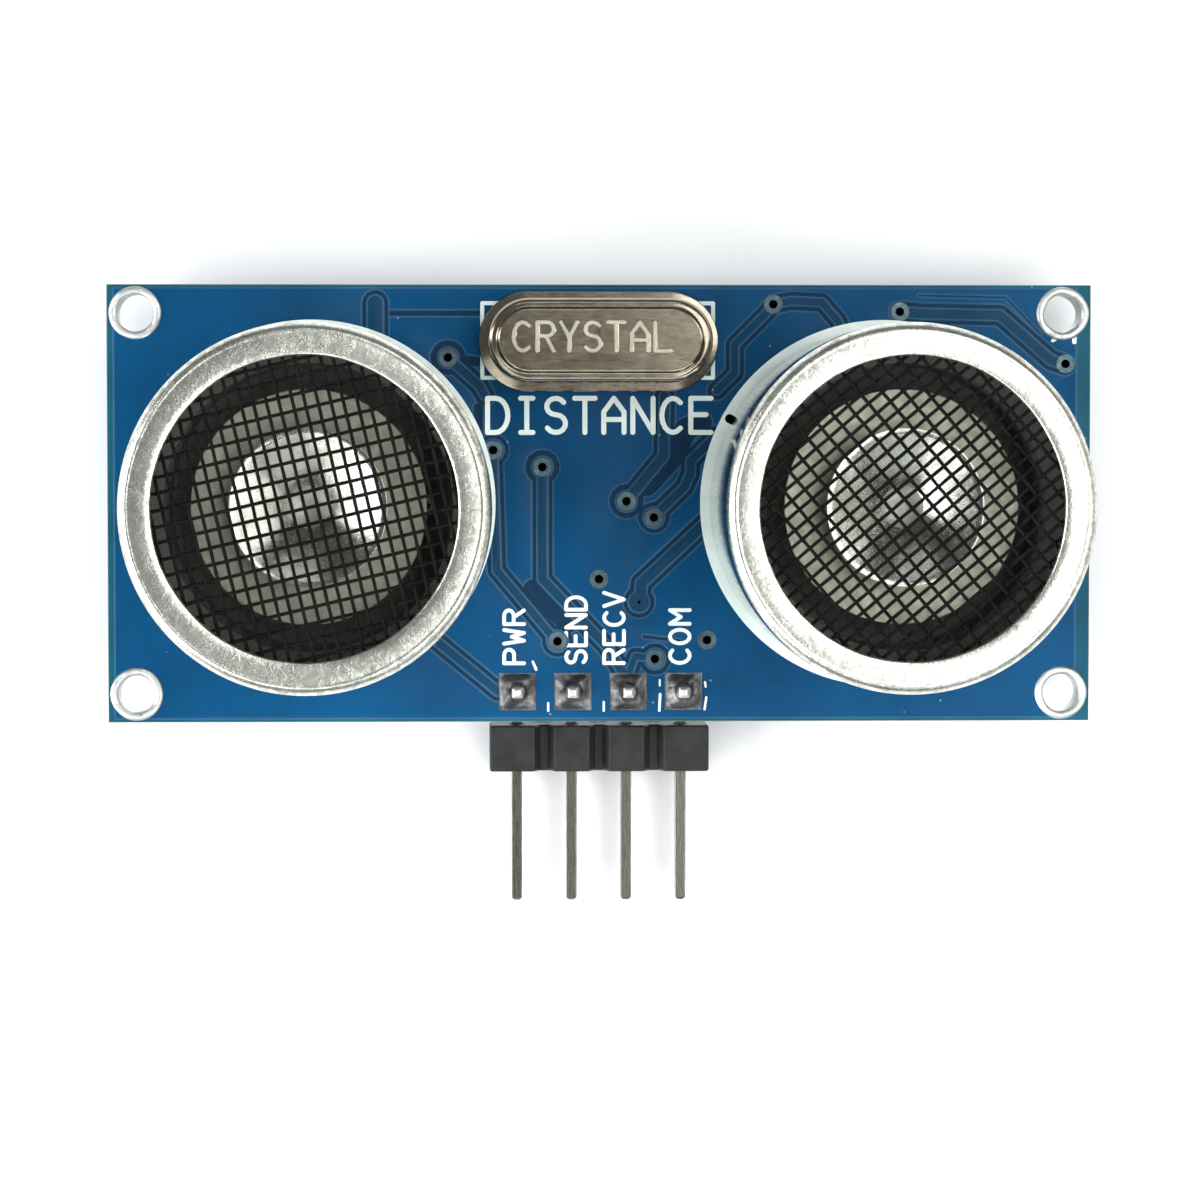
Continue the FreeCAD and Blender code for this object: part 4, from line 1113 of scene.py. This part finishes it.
def marked_panel(mould):
    """The flat top, sunk along the pen's path."""
    outline = inset_stadium(PANEL_INSET, CRYSTAL_SIZE)
    deep, rim = PRESSED
    pen = pen_lines("CRYSTAL", *MARKING_BOX, rim)
    edges = [stroke for reach in PRESSED for line in pen for stroke in strokes(line, reach)]
    points, triangles = flat_mesh([outline], lines=edges)
    top, shares = [], []
    for x, y in points:
        away = min(segment_distance((x, y), line) for line in pen)
        shares.append(min(1.0, max(0.0, (rim - away) / (rim - deep))))
        top.append(front(CRYSTAL_SIDE + x, CRYSTAL_UP + y, CRYSTAL_TOP - PRESSED_DEPTH * shares[-1]))
    triangles = upward(points, triangles)
    mould.add(top, triangles)
    for number, face in enumerate(triangles, start=len(mould.marks) - len(triangles)):
        mould.marks[number] = 1 if sum(shares[i] for i in face) > 1.5 else 0


def crystal_flange():
    levels = [(0.06, FLANGE_LOW), (0.0, FLANGE_LOW + 0.06), (0.0, FLANGE_TOP - 0.08)]
    levels += [(0.03, FLANGE_TOP - 0.02), (0.1, FLANGE_TOP), (0.3, FLANGE_TOP + 0.01)]
    levels += [(0.42, FLANGE_TOP + 0.05)]
    rings = [stadium_ring(inset, height, FLANGE_SIZE) for inset, height in levels]
    mould = Mould()
    mould.add(*loft(rings, close_first=True, close_last=True))
    mould.make("crystal_flange", [NICKEL], crease=40.0, replaced=["crystal_base"], finish="crystal_metal")


# ---------------------------------------------------------------- solder

LAND_TOP = 0.055


def joint(mould, spot, place, seed, pad, lead, rise, squared=False, flare=2.4, swell=0.1):
    """One joint: solder that fills the hole and climbs the lead, a little lopsided."""
    side, up = spot
    count, levels = 40, 10
    rings = []
    for level in range(levels + 1):
        share = level / levels
        ring = []
        for along, across in circle(1.0, count):
            corner = min(1 / max(abs(along), abs(across)), 1.25)
            outer = pad * (corner if squared else 1.0)
            radius = outer + (lead - outer) * share ** 0.8
            heap = noise.noise(Vector((along * 1.3, across * 1.3, seed + share)))
            height = LAND_TOP + rise * share ** flare * (1 + 0.25 * heap)
            height += (swell + 0.6 * swell * heap) * math.sin(math.pi * share)
            radius += 0.05 * pad * heap * (1 - share)
            ring.append(place(side + radius * along, up + radius * across, height))
        rings.append(ring)
    core = circle(pad * 0.5, count, side, up)
    plug = [[place(x, y, height) for x, y in core] for height in (0.02 - BOARD_THICKNESS, 0.04)]
    mould.add(*loft(plug + rings, close_first=True, close_last=True))


def joints(name, spots, place, metal, first_seed, seed_step, **shape):
    mould = Mould()
    for number, spot in enumerate(spots):
        joint(mould, spot, place, first_seed + number * seed_step, **shape)
    mould.make(f"{name}_joints", [metal], crease=60.0, replaced=[f"{name}_solder"], finish="solder")


def solder():
    pins = dict(pad=0.79, lead=0.34, rise=0.42, squared=True, flare=3.4, swell=0.16)
    joints("header", PIN_PLACES, front, SOLDER, 0, 3.1, **pins)
    cans = dict(pad=1.08, lead=0.52, rise=0.62)
    joints("transducer", centres("transducer_solder"), back, BRIGHT_SOLDER, 20, 2.3, **cans)
    leads = dict(pad=0.8, lead=0.3, rise=0.6)
    joints("crystal", centres("crystal_solder"), back, BRIGHT_SOLDER, 40, 1.7, **leads)


def corner_beads():
    """The tinning round each corner hole, heaped into an uneven bead on both faces."""
    hole, rim, rise, skin = 0.84, 1.22, 0.17, 0.04
    middle, reach = (hole + rim) / 2, (rim - hole) / 2
    section = [(hole, -BOARD_THICKNESS - 0.02), (hole, 0.02)]
    section += arc(middle, 0.0, reach, rise, 160, 20, 7)
    section += [(rim, 0.0), (hole + skin, 0.0), (hole + skin, -BOARD_THICKNESS), (rim, -BOARD_THICKNESS)]
    section += arc(middle, -BOARD_THICKNESS, reach, -rise, 20, 160, 7)
    mould = Mould()
    for number, place in enumerate(CORNERS):

        def uneven(radius, height, angle):
            if max(height, -BOARD_THICKNESS - height) > 0.015:
                broad = lump(angle, 1.4, number * 5.0)
                fine = lump(angle, 5.0, radius * 4 + number)
                height *= 1 + (0.45 * broad + 0.2 * fine) * (1 if height > 0 else 0.05)
                radius += 0.03 * broad
            return radius, height

        mould.add(*turned(section, 56, front, *place, wobble=uneven))
    replaced = ["corner_hole_rings"]
    mould.make("corner_beads", [BEAD_TIN], crease=50.0, replaced=replaced, finish="tinned_copper")


def header_pads():
    """Square tinned lands round the four header pins."""
    shapes = [square(*place, LAND_WIDTH) for place in PIN_PLACES]
    printed("header_pads", shapes, discs(0.5, 24, PIN_PLACES), 0.004, 0.048, front, SOLDER, "tinned_copper")


def bevelled(node, width, angle=40.0):
    """Rounds the edges of a CAD piece that keeps its own shape."""
    piece = frame["nodes"][node]
    weld = piece.modifiers.new("weld", "WELD")
    weld.merge_threshold = 0.001 * MM
    bevel = piece.modifiers.new("bevel", "BEVEL")
    bevel.width = width * MM
    bevel.segments = 2
    bevel.limit_method = "ANGLE"
    bevel.angle_limit = math.radians(angle)
    bevel.harden_normals = True


# ---------------------------------------------------------------- small parts on the back

def swapped(upright, along, across):
    """A part's own (along, across) as (side, up), for a part that lies or stands."""
    return (across, along) if upright else (along, across)


def small_spots(name):
    """Where the resistors or capacitors sit: (side, up, whether it stands upright)."""
    spots = []
    for low, high in loose_boxes(f"{name}_bodies"):
        spots.append(((low.x + high.x) / 2, (low.z + high.z) / 2, high.z - low.z > high.x - low.x))
    return spots


def lying(middle, upright, x, y, height):
    """A point of a part on the back, from the part's own x and y."""
    if upright:
        x, y = -y, x
    return back(middle[0] + x, middle[1] + y, height)


def rounded_rectangle(width, depth, radius):
    outline = []
    for x_sign, y_sign, first in ((1, 1, 0), (-1, 1, 90), (-1, -1, 180), (1, -1, 270)):
        x, y = x_sign * (width / 2 - radius), y_sign * (depth / 2 - radius)
        outline += arc(x, y, radius, radius, first, first + 90, 3)
    return outline


def block(mould, middle, upright, size, low, high, radius, mark=0):
    """A box with rounded edges, lying on the back of the board; size is (length, width)."""
    levels = [(0.0, low)]
    levels += [(radius - x, high - radius + y) for x, y in arc(0.0, 0.0, radius, radius, 0, 90, 3)]
    rings = []
    for inset, height in levels:
        corner = max(radius - inset, 0.01) + 0.01
        outline = rounded_rectangle(size[0] - 2 * inset, size[1] - 2 * inset, corner)
        rings.append([lying(middle, upright, x, y, height) for x, y in outline])
    points, faces = loft(rings, close_first=True, close_last=True)
    mould.add(points, faces, mark)


def fillet(mould, middle, upright, end, size, height, seed):
    """Solder that climbs one end of a small part from its land."""
    rows, columns = 7, 9
    top, foot = [], []
    for row in range(rows + 1):
        share = row / rows
        x = end * (size[0] / 2 - 0.04 + 0.42 * share)
        for column in range(columns + 1):
            y = (column / columns - 0.5) * (size[1] + 0.1 * share)
            heap = noise.noise(Vector((share * 2, y * 2, seed)))
            edge = 1 - (2 * column / columns - 1) ** 6
            rise = height * (1 - share) ** 2.2 * edge * (1 + 0.2 * heap)
            top.append(lying(middle, upright, x, y, 0.05 + rise))
            foot.append(lying(middle, upright, x, y, 0.03))
    faces = []
    for row in range(rows):
        for column in range(columns):
            a = row * (columns + 1) + column
            d = a + columns + 1
            faces.append((a, a + 1, d + 1, d) if end > 0 else (a, d, d + 1, a + 1))
    mould.add(*thickened(top, foot, faces))


SMALL_SIZE = (1.6, 0.8)
SMALL_END = 0.3
SMALL_LOW, CAP_LOW = 0.06, 0.05  # the undersides of the body and of its end caps
FILM_THICKNESS = 0.06


def small_parts(name, height):
    """Resistors or capacitors with wrapped end caps; a resistor has a dark film on a white chip."""
    bodies, caps, joints = Mould(), Mould(), Mould()
    film = name == "resistor"
    length, width = SMALL_SIZE
    for number, (side, up, upright) in enumerate(small_spots(name)):
        middle = (side + dice.uniform(-0.04, 0.04), up + dice.uniform(-0.04, 0.04))
        inner = (length - 0.1, width - 0.04)
        block(bodies, middle, upright, inner, SMALL_LOW, height - 0.02, 0.03 if film else 0.06)
        if film:
            face = (length - 2 * SMALL_END + 0.08, width - 0.1)
            block(bodies, middle, upright, face, height - FILM_THICKNESS, height, 0.03, 1)
        for end in (-1, 1):
            step = swapped(upright, end * (length - SMALL_END) / 2, 0.0)
            centre = (middle[0] + step[0], middle[1] + step[1])
            block(caps, centre, upright, (SMALL_END, width), CAP_LOW, height, 0.05)
            fillet(joints, middle, upright, end, SMALL_SIZE, height * 0.75, number * 1.9 + end)
    materials = [WHITE_CERAMIC, FILM_BLACK] if film else [TAN_CERAMIC]
    core = f"{name}_ceramic"
    bodies.make(f"{name}_chips", materials, crease=40.0, replaced=[f"{name}_bodies"], finish=core)
    caps.make(f"{name}_caps", [TERMINAL], crease=40.0, replaced=[f"{name}_ends"], finish="end_cap")
    joints.make(f"{name}_joints", [BRIGHT_SOLDER], crease=60.0, finish="solder")


# Lands as (length, width): under a chip's lead, a transistor's lead and a small part's end.
CHIP_LAND, TRANSISTOR_LAND, SMALL_LAND = (1.25, 0.6), (0.9, 0.75), (0.8, 0.95)
SMALL_LAND_REACH = 0.82
TOE_GAP = 0.3  # how far a land shows past its lead's toe
TOE_LENGTH, TOE_HEIGHT = 0.56, 0.22


def chip_pads():
    """The lands of all the parts on the back, and the solder of the packages' leads."""
    shapes, joints = [], Mould()
    for name in (*BACK_CHIPS, "transistor"):
        upright = name == "transistor"
        length, width = TRANSISTOR_LAND if upright else CHIP_LAND
        axis = 2 if upright else 0
        body_low, body_high = node_box(f"{name}_body")
        middle = (body_low + body_high) / 2
        for number, (low, high) in enumerate(loose_boxes(f"{name}_leads")):
            across = (low[2 - axis] + high[2 - axis]) / 2
            outward = math.copysign(1, (low[axis] + high[axis]) / 2 - middle[axis])
            toe = high[axis] if outward > 0 else low[axis]
            land = swapped(upright, toe + outward * (TOE_GAP - length / 2), across)
            shapes.append(square(*land, *swapped(upright, length, width)))
            start = swapped(upright, toe - outward * TOE_GAP, across)
            seed = number * 0.7 + middle[0]
            fillet(joints, start, upright, outward, (TOE_LENGTH, width * 0.8), TOE_HEIGHT, seed)
    for name in ("resistor", "capacitor"):
        for side, up, upright in small_spots(name):
            for end in (-SMALL_LAND_REACH, SMALL_LAND_REACH):
                step = swapped(upright, end, 0.0)
                shapes.append(square(side + step[0], up + step[1], *swapped(upright, *SMALL_LAND)))
    printed("back_lands", shapes, (), 0.0, LAND_TOP, back, TIN, "tinned_copper")
    joints.make("chip_joints", [BRIGHT_SOLDER], crease=60.0, finish="solder")


front_printing()
back_printing()
for number, (name, side) in enumerate(CAN_SIDES.items()):
    can_case(name, side, 3.0 + 5 * number)
    woven_mesh(name, side)
    horn(name, side, 1.5 + 4 * number)
crystal_cover()
crystal_flange()
corner_beads()
header_pads()
solder()
small_parts("resistor", 0.45)
small_parts("capacitor", 0.8)
chip_pads()
bevelled("header_body", 0.12)
for pin in PINS:
    bevelled(f"header_pin_{pin}", 0.05)
for name in BACK_CHIPS:
    bevelled(f"{name}_body", 0.06, angle=15.0)
    bevelled(f"{name}_leads", 0.04)
bevelled("transistor_body", 0.05, angle=15.0)
bevelled("transistor_leads", 0.03)


# ---------------------------------------------------------------- camera, floor and light

EYE, AIM = (-5.67, -179.3, 3.42), (-0.02, 0.0, -4.42)
LENS, SENSOR = 117.5, 36.0
COOL, WARM, WHITE = (0.88, 0.95, 1.0), (1.0, 0.97, 0.88), (1.0, 1.0, 1.0)
# Soft boxes that face the board's middle: (name, place, size, watts, colour).
BOXES = (
    ("left_box", (-260, -120, -50), (240, 300), 1.55, (0.95, 0.98, 1.0)),
    ("right_box", (131, -240, 0), (220, 300), 0.78, WHITE),
    ("right_low_box", (270, -130, -20), (120, 260), 0.14, WARM),
    ("low_box", (-140, -230, -190), (200, 140), 0.32, WHITE),
    ("foot_box", (60, -185, -215), (280, 110), 0.17, COOL),
    ("head_box", (0, -205, 185), (130, 50), 0.035, COOL),
    ("back_box", (60, 320, 160), (260, 200), 1.2, WHITE),
)
WORLD_GREY = (0.18, 0.188, 0.188, 1)
FLOOR_HALF = 600.0


def place_facing(thing, place, target):
    thing.location = Vector(place) * MM
    thing.rotation_euler = (Vector(target) * MM - thing.location).to_track_quat("-Z", "Y").to_euler()
    bpy.context.scene.collection.objects.link(thing)


def camera():
    data = bpy.data.cameras.new("camera")
    data.sensor_width = SENSOR
    data.lens = LENS
    data.clip_start = 0.005
    eye = bpy.data.objects.new("camera", data)
    place_facing(eye, EYE, AIM)
    bpy.context.scene.camera = eye


def softbox(name, place, size, watts, colour):
    data = bpy.data.lights.new(name, "AREA")
    data.shape = "RECTANGLE"
    data.size, data.size_y = size[0] * MM, size[1] * MM
    data.energy = watts
    data.color = colour
    place_facing(bpy.data.objects.new(name, data), place, (0, 0, 0))


def stage():
    """A pale sheet that the module lies on, seen from the front only."""
    half, depth = FLOOR_HALF, node_box("header_body")[1].y + 0.1
    mesh = bpy.data.meshes.new("floor")
    corners = [(-half, depth, -half), (half, depth, -half), (half, depth, half), (-half, depth, half)]
    mesh.from_pydata([Vector(corner) * MM for corner in corners], [], [(0, 1, 2, 3)])
    n = Nodes("floor_paper")
    colour = n.mix(n.drift(0.05, 0.0, 1.0, 2.0), (0.83, 0.83, 0.83), (0.86, 0.86, 0.86))
    material = n.finish(colour, 0.9)
    clear = n.node("ShaderNodeBsdfTransparent")
    facing = n.node("ShaderNodeNewGeometry")
    either = n.node("ShaderNodeMixShader")
    n.link(facing.outputs["Backfacing"], either.inputs[0])
    n.link(n.shader.outputs["BSDF"], either.inputs[1])
    n.link(clear.outputs["BSDF"], either.inputs[2])
    n.link(either.outputs[0], n.tree.nodes["Material Output"].inputs["Surface"])
    mesh.materials.append(material)
    floor = bpy.data.objects.new("floor", mesh)
    floor.visible_shadow = False
    floor.visible_diffuse = False
    bpy.context.scene.collection.objects.link(floor)


def light():
    world = bpy.data.worlds.new("world")
    world.use_nodes = True
    world.node_tree.nodes["Background"].inputs["Color"].default_value = WORLD_GREY
    bpy.context.scene.world = world
    for box in BOXES:
        softbox(*box)
    bpy.context.scene.view_settings.view_transform = "Standard"


camera()
stage()
light()
